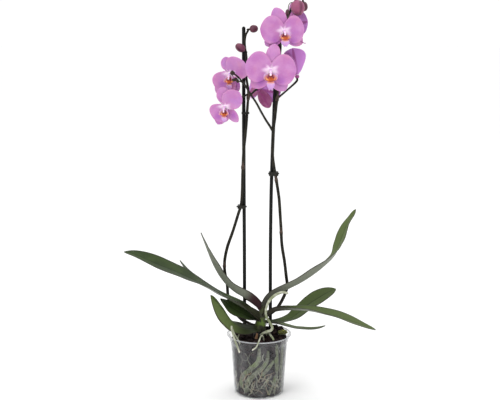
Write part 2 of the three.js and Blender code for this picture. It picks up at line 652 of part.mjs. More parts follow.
let medium = mediumBody();
Object.values(WALL_ROOTS).forEach((root) => { medium = medium.subtract(wallRoot(root, GAP)); });
Object.values(STAKES).forEach((path) => { medium = medium.subtract(stake(path, GAP)); });
Object.values(AERIAL_ROOTS).forEach((root) => { medium = medium.subtract(aerialRoot(root, GAP)); });
Object.values(TUFTS).forEach((spec) => { medium = medium.subtract(tuft(spec, GAP)); });
medium = medium.subtract(crown(GAP));

place(object, 'pot', pot(), 'clear_plastic');
place(object, 'growing_medium', whole(medium), 'growing_medium');
place(object, 'crown', crown(0), 'stem_base');
Object.entries(STAKES).forEach(([name, path]) => place(object, name, stake(path, 0), 'stake'));
Object.entries(WALL_ROOTS).forEach(([name, root]) => place(object, name, wallRoot(root, 0), 'root'));
Object.entries(AERIAL_ROOTS).forEach(([name, root]) => place(
  object, name, whole(aerialRoot(root, 0).subtract(crown(GAP))), 'root'));
Object.entries(TUFTS).forEach(([name, spec]) => place(object, name, tuft(spec, 0), spec.look));
Object.entries(LEAVES).forEach(([name, spec]) => {
  place(object, name, whole(leaf(spec).subtract(crown(GAP))), 'leaf');
});

place(object, 'spike_left',
  spike(SPIKE_LEFT, ['bud_left_1', 'bud_left_2'], ['bloom_4', 'bloom_6', 'bloom_7'], []), 'spike');
place(object, 'spike_right', spike(SPIKE_RIGHT, ['bud_right_1', 'bud_right_2', 'bud_right_3'],
  ['bloom_1', 'bloom_2', 'bloom_3', 'bloom_5'], sideBranch()), 'spike');
Object.entries(BUDS).forEach(([name, spec]) => place(object, name, bud(spec), 'bud'));
Object.entries(BLOOMS).forEach(([name, spec]) => bloom(name, spec));

const threads = {
  clip_left_lower: [stake(STAKES.stake_left, GAP), stem(SPIKE_LEFT.path, SPIKE_LEFT.radii, 5, 27, GAP)],
  clip_right: [stake(STAKES.stake_right, GAP), stem(SPIKE_RIGHT.path, SPIKE_RIGHT.radii, 5, 27, GAP)],
  tie_left_upper: [stake(STAKES.stake_left, GAP), stem(SPIKE_LEFT.path, SPIKE_LEFT.radii, 5, 27, GAP)],
};
Object.entries(CLIPS).forEach(([name, spec]) => place(object, name, clip(spec, threads[name]), 'clip'));

export default object;
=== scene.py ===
import math
import random

import bpy
import numpy as np
from mathutils import Matrix


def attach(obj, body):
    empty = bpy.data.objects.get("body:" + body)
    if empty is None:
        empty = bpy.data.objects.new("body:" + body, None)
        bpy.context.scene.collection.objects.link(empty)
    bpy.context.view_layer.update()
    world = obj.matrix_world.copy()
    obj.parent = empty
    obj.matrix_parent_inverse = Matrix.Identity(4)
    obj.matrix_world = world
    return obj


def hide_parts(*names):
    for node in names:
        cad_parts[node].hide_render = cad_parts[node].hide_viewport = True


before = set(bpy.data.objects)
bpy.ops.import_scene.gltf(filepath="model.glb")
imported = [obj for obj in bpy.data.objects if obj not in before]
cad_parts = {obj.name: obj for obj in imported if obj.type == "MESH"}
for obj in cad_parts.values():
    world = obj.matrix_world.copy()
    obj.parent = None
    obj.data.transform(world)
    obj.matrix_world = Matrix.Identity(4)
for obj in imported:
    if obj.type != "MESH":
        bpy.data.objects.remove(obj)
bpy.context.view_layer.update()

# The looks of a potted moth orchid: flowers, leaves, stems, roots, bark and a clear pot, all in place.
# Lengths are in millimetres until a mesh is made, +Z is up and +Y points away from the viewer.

MM = 0.001
GAP = 0.3

POT = {
    "height": 112,
    "baseRadius": 45.5,
    "neckRadius": 52.5,  # where the plain wall ends and the collar flares
    "neckHeight": 97,
    "collarRadius": 57,
    "rimRadius": 60,
    "wall": 1.2,
    "floor": 1.6,
    "notches": 8,
    "notchWidth": 9,
    "notchHeight": 4,
}

MEDIUM = {"bottom": 2, "level": 102, "chunk": 3.2, "heap": 13, "gap": 2.4}
ROOT_GAP = 0.7  # from the wall roots to the wall's rounded inside
CROWN = {
    "path": [[0, 1, 92], [1, 1, 112], [3, 0, 132], [6, -1, 150], [8, -2, 163]],
    "radii": [12, 12, 10, 8, 4],
}

STAKE_RADIUS = 3.2
STAKES = {
    "stake_left": [[-27, 18, 12], [-27, 18, 230], [-28, 18, 451], [-28, 18, 668]],
    "stake_right": [[22, 18, 12], [21, 18, 190], [21, 18, 285], [22, 18, 378], [24, 18, 451], [26, 18, 506],
        [28, 18, 560], [33, 18, 622], [35, 18, 644]],
}

CLIP_NODES = ["clip_left_lower", "clip_right", "tie_left_upper"]

# Leaves: midrib from the crown to the tip, full width, its share at the base, how far along the
# blade is widest, how much wider it is where it clasps the crown, how slowly it widens above its
# neck, the roll towards the viewer in degrees at even steps, and the angle at which each half
# folds up from the midrib.
LEAF_THICKNESS = 2
LEAVES = {
    "leaf_left_1": {
        "path": [[3, -8, 140], [-9, -10, 150], [-29, -12, 164], [-56, -14, 181], [-81, -17, 196],
            [-102, -20, 208], [-140, -25, 229], [-182, -31, 249], [-225, -35, 269], [-242, -36, 274]],
        "width": 54, "base": 0.22, "widest": 0.64, "clasp": 0.9, "neck": 2,
        "roll": [40, -12, -4, 10, 16, 14], "fold": [24, 8, 12, 12],
    },
    "leaf_left_2": {
        "path": [[2, 2, 153], [-4, 3, 161], [-13, 1, 170], [-27, -3, 181], [-44, -1, 191], [-61, 5, 205],
            [-74, 8, 222], [-85, 10, 243], [-94, 13, 265], [-101, 16, 283], [-107, 18, 298]],
        "width": 31, "base": 0.62, "widest": 0.4, "clasp": 0.15,
        "roll": [-46, -48, -38, -32, -30, -20], "fold": [38, 34, 26, 16],
    },
    "leaf_left_3": {
        "path": [[0, 4, 146], [-14, 5, 155], [-27, 6, 163], [-43, 10, 170], [-69, 18, 179], [-91, 24, 190],
            [-110, 30, 201], [-125, 35, 212], [-138, 38, 226], [-148, 41, 240]],
        "width": 28, "base": 0.16, "widest": 0.6, "clasp": 0,
        "roll": [0, -2, -6, -8], "fold": [30, 14, 10, 10],
    },
    "leaf_left_4": {
        "path": [[1, -7, 120], [-10, -10, 121], [-23, -13, 124], [-37, -17, 130], [-49, -22, 140],
            [-58, -25, 152], [-67, -26, 165], [-77, -26, 178], [-88, -25, 191]],
        "width": 42, "base": 0.45, "widest": 0.5, "clasp": 0,
        "roll": [14, 24, 26, 20], "fold": [14, -10, -26, -26, -16],
    },
    "leaf_left_5": {
        "path": [[-1, -4, 136], [-17, -6, 143], [-32, -8, 151], [-46, -9, 159], [-59, -9, 169],
            [-71, -10, 180]],
        "width": 38, "base": 0.5, "widest": 0.45, "clasp": 0,
        "roll": [14, 24, 26, 20], "fold": [28, 14, 6, 6],
    },
    "leaf_right_1": {
        "path": [[12, -3, 160], [23, -4, 179], [50, -4, 196], [74, -2, 208], [95, 0, 221], [120, 4, 240],
            [138, 8, 258], [149, 12, 281], [161, 16, 311], [172, 18, 330], [177, 20, 341]],
        "width": 38, "base": 0.5, "widest": 0.72, "clasp": 0.2,
        "roll": [-40, -38, -35, -19, 2, 4], "fold": [34, 24, 14, 12],
    },
    "leaf_right_2": {
        "path": [[8, 2, 134], [22, 4, 131], [41, 8, 131], [61, 14, 136], [75, 20, 145], [92, 26, 158],
            [111, 32, 169], [129, 38, 178], [145, 44, 184]],
        "width": 38, "base": 0.26, "widest": 0.72, "clasp": 0,
        "roll": [0, 6, 14, 22, 24], "fold": [14, 14, 12, 8],
    },
    "leaf_right_3": {
        "path": [[9, -8, 147], [23, -14, 156], [38, -19, 161], [56, -25, 164], [75, -30, 165],
            [97, -35, 164], [118, -39, 160], [138, -42, 156], [158, -45, 150], [177, -48, 144],
            [195, -50, 138], [209, -52, 134]],
        "width": 38, "base": 0.26, "widest": 0.64, "clasp": 0.6,
        "roll": [0, -8, -4, 2, 6, 6], "fold": [34, 24, 16, 14],
    },
    "leaf_right_4": {
        "path": [[1, 4, 121], [4, 22, 121], [14, 33, 121], [32, 37, 119], [52, 37, 114], [68, 37, 110],
            [83, 38, 108], [100, 39, 107], [115, 40, 109], [126, 41, 113]],
        "width": 25, "base": 0.4, "widest": 0.6, "clasp": 0,
        "roll": [0, -4, -6, -6], "fold": [24, 16, 10, 8],
    },
}

# Flower spikes: the main stem, its radii at even steps, and the swollen joints on it.
SPIKE_LEFT = {
    "path": [[0, 3, 124], [-12, 7, 125], [-22, 9, 129], [-32, 11, 134], [-42, 20, 142], [-53, 32, 153],
        [-58, 39, 171], [-60, 40, 196], [-64, 36, 221], [-64, 31, 241], [-59, 25, 268], [-48, 20, 301],
        [-38, 16, 334], [-33, 13, 351], [-31, 12, 379], [-30, 11, 416], [-28, 11, 452], [-25, 12, 479],
        [-23, 13, 503], [-22, 14, 520], [-21, 14, 533],
        [-20, 12, 546], [-20, 10, 560], [-23, 8, 580], [-24, 8, 599], [-23, 10, 617], [-25, 11, 631],
        [-26, 12, 645], [-24, 12, 657], [-20, 12, 664]],
    "radii": [3, 2.9, 2.9, 2.7, 2.6, 2.5, 2.2, 1.8],
    "joints": [[-64, 33, 231], [-30, 11, 420], [-20, 12, 546]],
}
SPIKE_RIGHT = {
    "path": [[6, 3, 139], [16, 9, 143], [25, 12, 148], [34, 14, 156], [46, 18, 176], [52, 19, 195],
        [50, 18, 218], [47, 18, 243], [42, 17, 275], [40, 16, 308], [38, 15, 338], [36, 14, 364],
        [32, 12, 390], [29, 11, 408], [26, 10, 425],
        [24, 10, 443], [24, 10, 467], [25, 10, 488], [28, 10, 510], [30, 10, 531], [32, 10, 546],
        [32, 10, 564], [33, 10, 587], [35, 10, 613], [37, 12, 631], [38, 14, 648], [44, 17, 669],
        [50, 19, 686], [56, 19, 702], [63, 18, 716], [66, 17, 722], [70, 16, 725], [73, 14, 721]],
    "radii": [3, 3, 2.9, 2.8, 2.7, 2.6, 2.3, 1.6],
    "joints": [[40, 16, 299], [31, 12, 396], [32, 10, 544], [47, 18, 678]],
}
SIDE_BRANCH = {
    "path": [[24, 10, 486], [19, 5, 495], [12, -2, 506], [3, -10, 522], [-6, -18, 539], [-15, -26, 553],
        [-24, -33, 568], [-28, -37, 574], [-34, -40, 581], [-41, -43, 588], [-46, -45, 591]],
    "radii": [2.2, 1.9, 1.8, 1.5],
    "twig": [[-26, -35, 572], [-33, -40, 577], [-39, -43, 578], [-44, -46, 580]],
    "knobs": [[-47, -45, 592, 3.2], [-45, -46, 580, 2.2], [-41, -44, 581, 2.4], [-38, -42, 578, 2.4]],
}
# Closed buds: centre, the way the tip points, length and width, and where the stalk leaves the spike.
BUDS = {
    "bud_left_1": {"at": [-10, 12, 667], "tip": [0.9, 0, 0.1], "size": [15, 14], "from": [-20, 12, 664]},
    "bud_left_2": {"at": [-34, 6, 634], "tip": [-0.8, -0.2, 0.55], "size": [19, 15], "from": [-24, 10, 624]},
    "bud_right_1": {"at": [67, 4, 703], "tip": [0.1, -0.4, -0.8], "size": [27, 25], "from": [50, 19, 686]},
    "bud_right_2": {"at": [79, 25, 706], "tip": [0.2, 0.3, -0.9], "size": [17, 14], "from": [72, 14, 722]},
    "bud_right_3": {"at": [50, 30, 695], "tip": [0, 0.3, 0.9], "size": [13, 8], "from": [48, 18, 680]},
}

# Open flowers: the point where the five tepals meet, the way the flower faces (yaw to the
# viewer's right and pitch up, in degrees), its size against the largest, how far the tepals close
# forward in degrees, and where its stalk leaves the spike. fan, reach and spread give the
# direction in degrees clockwise from the flower's top, and the length and width against the full
# ones, of the dorsal sepal, the right and left sepals and the right and left petals.
BLOOMS = {
    "bloom_1": {
        "at": [42, -14, 664], "faces": [12, 0], "size": 0.9, "close": 12, "from": [38, 14, 646],
        "fan": [-23, 125, -127, 85, -86], "reach": [1, 1.08, 1.1, 0.88, 1.08], "spread": [1, 1, 1, 1, 1],
    },
    "bloom_2": {
        "at": [19, -30, 597], "faces": [0, 0], "size": 1, "close": 6, "from": [33, 10, 575],
        "fan": [10, 144, -133, 91, -77], "reach": [0.95, 1.05, 1.04, 0.98, 0.98],
        "spread": [0.86, 1, 1, 1, 1],
    },
    "bloom_3": {
        "at": [60, 40, 674], "faces": [125, 0], "size": 0.85, "close": 10, "from": [50, 19, 684],
        "fan": [0, 139, -139, 82, -82], "reach": [1, 1, 1, 1, 1], "spread": [1, 1, 1, 1, 0.9],
    },
    "bloom_4": {
        "at": [-1, 36, 558], "faces": [146, -10], "size": 0.85, "close": 30, "from": [-20, 12, 546],
        "fan": [0, 98, -148, 66, -92], "reach": [1, 0.8, 1.12, 1, 1.06], "spread": [1, 0.75, 0.95, 1, 0.86],
    },
    "bloom_5": {
        "at": [68, 30, 584], "faces": [180, 58], "size": 0.85, "close": 52, "from": [32, 10, 544],
        "fan": [46, 146, 168, 104, 16], "reach": [1.25, 0.9, 0.7, 0.9, 1.32],
        "spread": [0.8, 0.8, 0.45, 1, 0.88],
    },
    "bloom_6": {
        "at": [-52, -6, 590], "faces": [-20, -20], "size": 0.89, "close": 14, "from": [-24, 8, 590],
        "fan": [-6, 160, -144, 52, -146], "reach": [0.76, 0.96, 1.36, 1.02, 1],
        "spread": [0.95, 0.7, 1, 0.94, 0.95],
    },
    "bloom_7": {
        "at": [-61, -10, 532], "faces": [-20, -20], "size": 0.85, "close": 14, "from": [-20, 11, 552],
        "fan": [4, 144, -152, 48, -138], "reach": [0.96, 1.02, 1.12, 1.22, 0.84],
        "spread": [1.1, 0.8, 0.9, 0.8, 0.86],
    },
}

# Aerial roots outside the medium: path and radii.
AERIAL_ROOTS = {
    "aerial_root_1": {
        "path": [[2, -8, 110], [6, -15, 115], [14, -22, 121], [21, -24, 124], [24, -23, 129],
            [19, -22, 139], [13, -25, 151], [12, -27, 162], [15, -27, 175], [22, -25, 185],
            [32, -22, 192], [43, -20, 195], [51, -19, 193]],
        "radii": [2, 2.6, 2.3, 2.2, 2.7, 2.2],
    },
    "aerial_root_2": {
        "path": [[9, -20, 103], [7, -28, 114], [3, -46, 120], [0, -59, 117], [-3, -63.5, 111],
            [-6, -61, 104], [-12, -57, 98]],
        "radii": [1.2, 1.3, 1.3, 1.3, 1.3, 1.3, 1.2],
    },
    "aerial_root_3": {
        "path": [[-34, -34, 99], [-38, -37, 110], [-44, -41, 121], [-48, -46, 132], [-50, -50, 140],
            [-50, -54, 137], [-48, -56, 129], [-45, -56, 119], [-42, -54, 110], [-39, -52, 101],
            [-36, -51, 92]],
        "radii": [1.3, 1.4, 1.4, 1.5, 1.8, 1.4],
    },
    "aerial_root_4": {
        "path": [[12, 4, 105], [15, -6, 112], [18, -15, 115], [22, -22, 113], [26, -26, 107], [25, -24, 98]],
        "radii": [1.4, 1.7, 1.8, 1.8, 1.8, 1.6],
    },
    "loose_root": {
        "path": [[-4, 4, 112], [-11, -1, 118], [-20, -2, 119], [-30, -3, 118], [-37, -5, 110],
            [-40, -7, 98]],
        "radii": [1.1, 1.2, 1.2, 1.2, 1.2, 1.1],
    },
}

# Small things that lie on the medium.
ROOT_STUB = [-5, -13, 108]
MOSS_TUFT = [44, 2, 111]

# Roots pressed against the inside of the wall: [degrees round from the front, height], and radii.
WALL_ROOTS = {
    "wall_root_1": {
        "path": [[0, 96], [-2, 74], [-18, 59], [-36, 46], [-48, 36], [-52, 18]], "radii": [3.6, 5.2, 5, 4.2],
    },
    "wall_root_2": {
        "path": [[20, 90], [18, 73], [6, 59], [-8, 49], [-28, 33], [-35, 12]], "radii": [3.2, 4.8, 5, 4],
    },
    "wall_root_3": {"path": [[33, 69], [25, 61], [15, 52], [4, 44]], "radii": [3, 4, 3.6, 2.6]},
    "wall_root_4": {
        "path": [[42, 98], [44, 72], [46, 46], [40, 28], [24, 8]], "radii": [4.2, 5.4, 5.2, 3.6],
    },
    "wall_root_5": {"path": [[64, 100], [64, 70], [66, 40]], "radii": [3.4, 4.2, 3]},
}

# ------------------------------------------------------------------ curves and surfaces

def value_at(values, t):
    """The value at each share t of the way through a list of values, eased from one to the next."""
    place = np.asarray(t, float) * (len(values) - 1)
    index = np.minimum(place.astype(int), len(values) - 2)
    share = np.clip(place - index, 0, 1)
    share = share * share * (3 - 2 * share)
    values = np.asarray(values, float)
    return values[index] * (1 - share) + values[index + 1] * share


def smooth_curve(points, per_span=24):
    """Points close together on the centripetal Catmull-Rom curve through the given points."""
    p = np.asarray(points, float)
    p = np.vstack([2 * p[0] - p[1], p, 2 * p[-1] - p[-2]])
    t = np.linspace(0, 1, per_span, endpoint=False)[:, None]
    curve = []
    for a, b, c, d in zip(p, p[1:], p[2:], p[3:]):
        before, here, after = (np.linalg.norm(v) ** 0.5 for v in (b - a, c - b, d - c))
        leave = ((b - a) / before - (c - a) / (before + here) + (c - b) / here) * here
        arrive = ((c - b) / here - (d - b) / (here + after) + (d - c) / after) * here
        square = 3 * (c - b) - 2 * leave - arrive
        cube = 2 * (b - c) + leave + arrive
        curve.append(b + leave * t + square * t**2 + cube * t**3)
    curve.append(p[-2][None])
    return np.vstack(curve)


def spaced(points, shares):
    """Positions at the given shares of the length of the smooth curve through points."""
    curve = smooth_curve(points)
    reach = np.concatenate([[0], np.cumsum(np.linalg.norm(np.diff(curve, axis=0), axis=1))])
    places = np.asarray(shares) * reach[-1]
    return np.stack([np.interp(places, reach, axis) for axis in curve.T], axis=1)


def length_of(points):
    return np.linalg.norm(np.diff(smooth_curve(points), axis=0), axis=1).sum()


def unit(vectors):
    return vectors / np.maximum(np.linalg.norm(vectors, axis=-1, keepdims=True), 1e-9)


def ripple(points, scale, seed=0.0):
    """Smooth values from about -1 to 1 that wander over space, the same on every run."""
    x, y, z = np.moveaxis(np.asarray(points) / scale + seed, -1, 0)
    first = np.sin(x + 1.7 * np.sin(0.9 * y + 0.4)) * np.cos(1.1 * y - 0.8 * z)
    second = np.sin(2.3 * z + 1.3 * np.cos(1.9 * x - 0.6)) * np.cos(2.1 * y + 1.2 * x)
    return 0.65 * first + 0.35 * second


def turn_z(degrees):
    a = math.radians(degrees)
    return np.array([[math.cos(a), -math.sin(a), 0], [math.sin(a), math.cos(a), 0], [0, 0, 1]])


def turn_x(degrees):
    a = math.radians(degrees)
    return np.array([[1, 0, 0], [0, math.cos(a), -math.sin(a)], [0, math.sin(a), math.cos(a)]])


def turn_to(direction):
    """The turn that brings +Z to this direction."""
    z = unit(np.asarray(direction, float))
    x = unit(np.cross([0, 1, 0.01], z))
    return np.stack([x, np.cross(z, x), z], axis=1)


class Surface:
    """Points, faces and paint values of one piece, gathered from closed shells."""

    def __init__(self):
        self.points, self.faces, self.place, self.plan, self.tint = [], [], [], [], []
        self.count = 0

    def add(self, points, faces, place, plan=(0, 0, 0), tint=(1, 1, 1)):
        """place, plan and tint hold three paint values each, for all points or for each point."""
        for kept, values in ((self.place, place), (self.plan, plan), (self.tint, tint)):
            kept.append(np.broadcast_to(np.asarray(values, float), (len(points), 3)))
        self.points.append(points)
        self.faces += [tuple(int(i) + self.count for i in face) for face in faces]
        self.count += len(points)

    def build(self, name, material, turn=None, at=(0, 0, 0)):
        """The piece in metres, turned and put in its place, with its paint values on its points."""
        points = np.vstack(self.points)
        if turn is not None:
            points = points @ turn.T
        points = (points + np.asarray(at)) * MM
        mesh = bpy.data.meshes.new(name)
        mesh.from_pydata(points.tolist(), [], self.faces)
        mesh.polygons.foreach_set("use_smooth", [True] * len(mesh.polygons))
        for label, values in (("place", self.place), ("plan", self.plan)):
            layer = mesh.attributes.new(label, "FLOAT_VECTOR", "POINT")
            layer.data.foreach_set("vector", np.vstack(values).astype(np.float32).ravel())
        layer = mesh.attributes.new("tint", "FLOAT_COLOR", "POINT")
        tint = np.hstack([np.vstack(self.tint), np.ones((self.count, 1))])
        layer.data.foreach_set("color", tint.astype(np.float32).ravel())
        mesh.materials.append(material)
        mesh.validate()
        piece = bpy.data.objects.new(name, mesh)
        bpy.context.scene.collection.objects.link(piece)
        return piece

    def show(self, name, look, slot, *nodes, turn=None, at=(0, 0, 0)):
        """Builds the piece with one of the MATERIALS and dresses it."""
        dress(self.build(name, MATERIALS[look], turn, at), slot, *nodes)


def dress(piece, slot, *nodes):
    """The piece rides with the plant and stands for these nodes; slot is not used."""
    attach(piece, "root")
    if nodes:
        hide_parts(*nodes)


def blade(grid, thickness):
    """Points, faces and side values (0 front, 1 back) of the closed sheet round a grid of points."""
    rows, columns = grid.shape[:2]
    normal = unit(np.cross(np.gradient(grid, axis=0), np.gradient(grid, axis=1)))
    offset = normal * thickness[..., None] / 2
    points = np.concatenate([(grid + offset).reshape(-1, 3), (grid - offset).reshape(-1, 3)])
    index = np.arange(rows * columns).reshape(rows, columns)
    corners = [index[:-1, :-1], index[1:, :-1], index[1:, 1:], index[:-1, 1:]]
    front = np.stack(corners, axis=-1).reshape(-1, 4)
    back = front[:, ::-1] + rows * columns
    border = np.concatenate([index[0, :-1], index[:-1, -1], index[-1, :0:-1], index[:0:-1, 0]])
    after = np.roll(border, -1)
    rim = np.stack([border, after, after + rows * columns, border + rows * columns], axis=-1)
    side = np.repeat([0.0, 1.0], rows * columns)
    return points, np.vstack([front, back, rim]), side


def both_sides(u, s):
    """The share along and the place across for every point of a blade of rows u and columns s."""
    return np.tile(np.repeat(u, len(s)), 2), np.tile(s, 2 * len(u))


def around(sides):
    return np.linspace(0, 2 * math.pi, sides, endpoint=False)


def ring_faces(rows, sides, downward=False):
    """Faces between rings of points that follow each other up or down an axis, and a cap on each end."""
    index = np.arange(rows * sides).reshape(rows, sides)
    beside = np.roll(index, -1, axis=1)
    corners = [index[:-1], beside[:-1], beside[1:], index[1:]]
    if downward:
        corners = [corners[0], *corners[:0:-1]]
    way = 1 if downward else -1
    faces = np.stack(corners, axis=-1).reshape(-1, 4).tolist()
    return faces + [index[0][::way].tolist(), index[-1][::-way].tolist()]


def revolve(radii, heights, angle):
    """Points at these radii and heights, at each angle round the Z axis."""
    x, y = np.outer(radii, np.cos(angle)), np.outer(radii, np.sin(angle))
    z = np.outer(heights, np.ones(len(angle)))
    return np.stack([x, y, z], axis=-1).reshape(-1, 3)


def frames_along(centres):
    """Two directions across each point of a path that turn as little as possible along it."""
    tangent = unit(np.gradient(centres, axis=0))
    first = np.cross(tangent[0], [0.31, 0.12, 0.94])
    across = [first / np.linalg.norm(first)]
    for t in tangent[1:]:
        next_one = across[-1] - t * np.dot(across[-1], t)
        across.append(next_one / np.linalg.norm(next_one))
    across = np.array(across)
    return tangent, across, np.cross(tangent, across)


DOME = np.radians([72, 40, 15])  # the rings of a stem's domed end


def tube(path, radii, sides=12, step=2.5, shape=None):
    """A round stem with domed ends. shape(share, angle, points) may scale the radius."""
    count = max(int(length_of(path) / step), 6)
    shares = np.linspace(0, 1, count)
    centres = spaced(path, shares)
    tangent, right, up = frames_along(centres)
    row = np.pad(np.arange(count), len(DOME), mode="edge")
    lift = np.concatenate([-np.sin(DOME), np.zeros(count), np.sin(DOME[::-1])])
    narrow = np.concatenate([np.cos(DOME), np.ones(count), np.cos(DOME[::-1])])
    radius = value_at(radii, shares)[row]
    centres = centres[row] + tangent[row] * radius[:, None] * lift[:, None]
    radius, shares = radius * narrow, shares[row]
    angle = around(sides)
    ring = right[row][:, None] * np.cos(angle)[:, None] + up[row][:, None] * np.sin(angle)[:, None]
    points = centres[:, None] + ring * radius[:, None, None]
    if shape is not None:
        scale = shape(shares[:, None], angle[None, :], points)
        points = centres[:, None] + ring * (radius[:, None] * scale)[..., None]
    place = np.zeros((points.size // 3, 3))
    place[:, 0] = np.repeat(shares, sides)
    place[:, 1] = np.tile(angle, len(row))
    return points.reshape(-1, 3), ring_faces(len(row), sides), place


def lump(centre, size, seed, rough=0.12, detail=10):
    """A closed lump of that size in x, y and z, with an uneven surface."""
    sides = detail + 4
    polar = np.linspace(0.12, math.pi - 0.12, detail)
    ball = revolve(np.sin(polar), np.cos(polar), around(sides))
    ball *= (1 + rough * ripple(ball, 0.55, seed))[:, None]
    place = np.zeros((len(ball), 3))
    place[:, 0] = np.repeat(np.linspace(0, 1, detail), sides)
    place[:, 1] = np.tile(around(sides), detail)
    return ball * np.asarray(size) / 2 + np.asarray(centre), ring_faces(detail, sides, downward=True), place


# ------------------------------------------------------------------ materials

def rgb(red, green, blue):
    """Linear colour from 0 to 255 screen values."""
    screen = [value / 255 for value in (red, green, blue)]
    return tuple(v / 12.92 if v <= 0.04 else ((v + 0.055) / 1.055) ** 2.4 for v in screen)


class Paint:
    """A material's nodes, built by short calls that each return an output to use in the next.

    Colours are given as 0 to 255 screen values, apart from those that put and mix take.
    """

    def __init__(self, name, roughness, specular=0.5, **uniform):
        self.material = bpy.data.materials.new(name)
        self.material.use_nodes = True
        self.tree = self.material.node_tree
        self.shader = self.tree.nodes["Principled BSDF"]
        self.shader.inputs["Roughness"].default_value = roughness
        self.shader.inputs["Specular IOR Level"].default_value = specular
        for socket, value in uniform.items():
            self.shader.inputs[socket.replace("_", " ")].default_value = value

    def node(self, kind, **settings):
        made = self.tree.nodes.new("ShaderNode" + kind)
        for key, value in settings.items():
            setattr(made, key, value)
        return made

    def put(self, value, socket):
        if isinstance(value, bpy.types.NodeSocket):
            self.tree.links.new(value, socket)
        elif socket.type == "RGBA":
            socket.default_value = (*value, 1)
        else:
            socket.default_value = value

    def parts(self, attribute):
        source = self.node("Attribute", attribute_name=attribute)
        split = self.node("SeparateXYZ")
        self.put(source.outputs["Vector"], split.inputs[0])
        return split.outputs

    def tint(self):
        return self.node("Attribute", attribute_name="tint").outputs["Color"]

    def math(self, operation, a, b=0.0):
        made = self.node("Math", operation=operation)
        self.put(a, made.inputs[0])
        self.put(b, made.inputs[1])
        return made.outputs[0]

    def times(self, a, b):
        return self.math("MULTIPLY", a, b)

    def plus(self, a, b):
        return self.math("ADD", a, b)

    def minus(self, a, b):
        return self.math("SUBTRACT", a, b)

    def size(self, a):
        return self.math("ABSOLUTE", a)

    def between(self, value, low, high):
        """0 at low, 1 at high and smooth between them."""
        made = self.node("MapRange", interpolation_type="SMOOTHSTEP")
        self.put(value, made.inputs["Value"])
        made.inputs["From Min"].default_value = low
        made.inputs["From Max"].default_value = high
        return made.outputs["Result"]

    def mix(self, share, a, b, blend="MIX"):
        made = self.node("Mix", data_type="RGBA", blend_type=blend)
        self.put(share, made.inputs[0])
        self.put(a, made.inputs[6])
        self.put(b, made.inputs[7])
        return made.outputs[2]

    def shades(self, share, dark, light):
        return self.mix(share, rgb(*dark), rgb(*light))

    def mottled(self, noise, low, high, dark, light):
        """Patches of two colours, where the noise lies below low or above high."""
        return self.shades(self.between(noise, low, high), dark, light)

    def coats(self, base, *coats):
        """The base under coats of paint: each a colour, the share that shows, and perhaps a strength."""
        for colour, share, *strength in coats:
            for factor in strength:
                share = self.times(share, factor)
            base = self.mix(share, base, rgb(*colour))
        return base

    def noise(self, scale, detail=2.0, along=None):
        """Noise with that many waves a metre, or along times as many up the Z axis."""
        made = self.node("TexNoise")
        made.inputs["Scale"].default_value = scale
        made.inputs["Detail"].default_value = detail
        where = self.node("TexCoord").outputs["Object"]
        if along is not None:
            mapping = self.node("Mapping")
            mapping.inputs["Scale"].default_value = (1, 1, along)
            self.put(where, mapping.inputs["Vector"])
            where = mapping.outputs["Vector"]
        self.put(where, made.inputs["Vector"])
        return made.outputs["Fac"]

    def stripes(self, value, count, wander):
        """Thin lines where value times count passes a whole number, 1 on the line."""
        shifted = self.plus(self.times(value, count), self.times(wander, 1.6))
        wave = self.size(self.math("SINE", self.times(shifted, math.pi)))
        return self.between(wave, 0.42, 0.02)

    def bump(self, height, strength, distance):
        made = self.node("Bump")
        made.inputs["Strength"].default_value = strength
        made.inputs["Distance"].default_value = distance
        self.put(height, made.inputs["Height"])
        self.put(made.outputs["Normal"], self.shader.inputs["Normal"])

    def finish(self, colour, roughness=None):
        self.put(colour, self.shader.inputs["Base Color"])
        if roughness is not None:
            self.put(roughness, self.shader.inputs["Roughness"])
        return self.material


def tepal_material():
    """Pale lilac with veins, a white middle and painted violet shade low beside the lip, and darker behind,
    most of all on the sepals.
    """
    paint = Paint("petal", roughness=0.62, specular=0.25, Subsurface_Weight=0.2, Subsurface_Scale=0.0015,
                  Sheen_Weight=0.15)
    paint.shader.inputs["Subsurface Radius"].default_value = (1.0, 0.45, 0.8)
    _, across, back = paint.parts("place")
    x, y, sepal = paint.parts("plan")
    white, violet_shade, _ = paint.parts("tint")
    veins = paint.stripes(paint.math("ARCTAN2", x, paint.plus(y, 9.0)), 15, paint.noise(60))
    cloud = paint.noise(55, 3)
    fine = paint.noise(420, 2)
    patches = paint.noise(34, 2)
    edge = paint.between(paint.size(across), 0.72, 1.0)
    glow = paint.between(paint.minus(white, paint.times(veins, 0.25)), 0.0, 0.9)
    front = paint.coats(
        paint.mottled(cloud, 0.3, 0.72, (182, 112, 176), (196, 138, 190)),
        ((204, 134, 168), paint.between(patches, 0.5, 0.75), 0.6),
        ((176, 122, 196), paint.between(patches, 0.48, 0.25), 0.6),
        ((164, 82, 158), veins, 0.22),
        ((212, 146, 184), edge, 0.35),
        # painted violet shade on the petals' low sides beside the lip
        ((150, 66, 172), violet_shade, 0.55),
        ((246, 224, 242), glow))
    keel = paint.between(paint.size(across), 0.22, 0.06)
    sepal_back = paint.mottled(cloud, 0.35, 0.7, (138, 52, 104), (158, 84, 128))
    sepal_back = paint.coats(sepal_back, ((112, 30, 84), veins, 0.5))
    petal_back = paint.shades(paint.times(veins, 0.4), (190, 126, 200), (156, 78, 168))
    rear = paint.coats(paint.mix(sepal, petal_back, sepal_back), ((140, 32, 110), keel, 0.7))
    colour = paint.coats(paint.mix(back, front, rear), ((226, 168, 220), fine, 0.12))
    paint.bump(paint.plus(veins, paint.times(fine, 0.5)), 0.25, 0.0003)
    return paint.finish(colour)


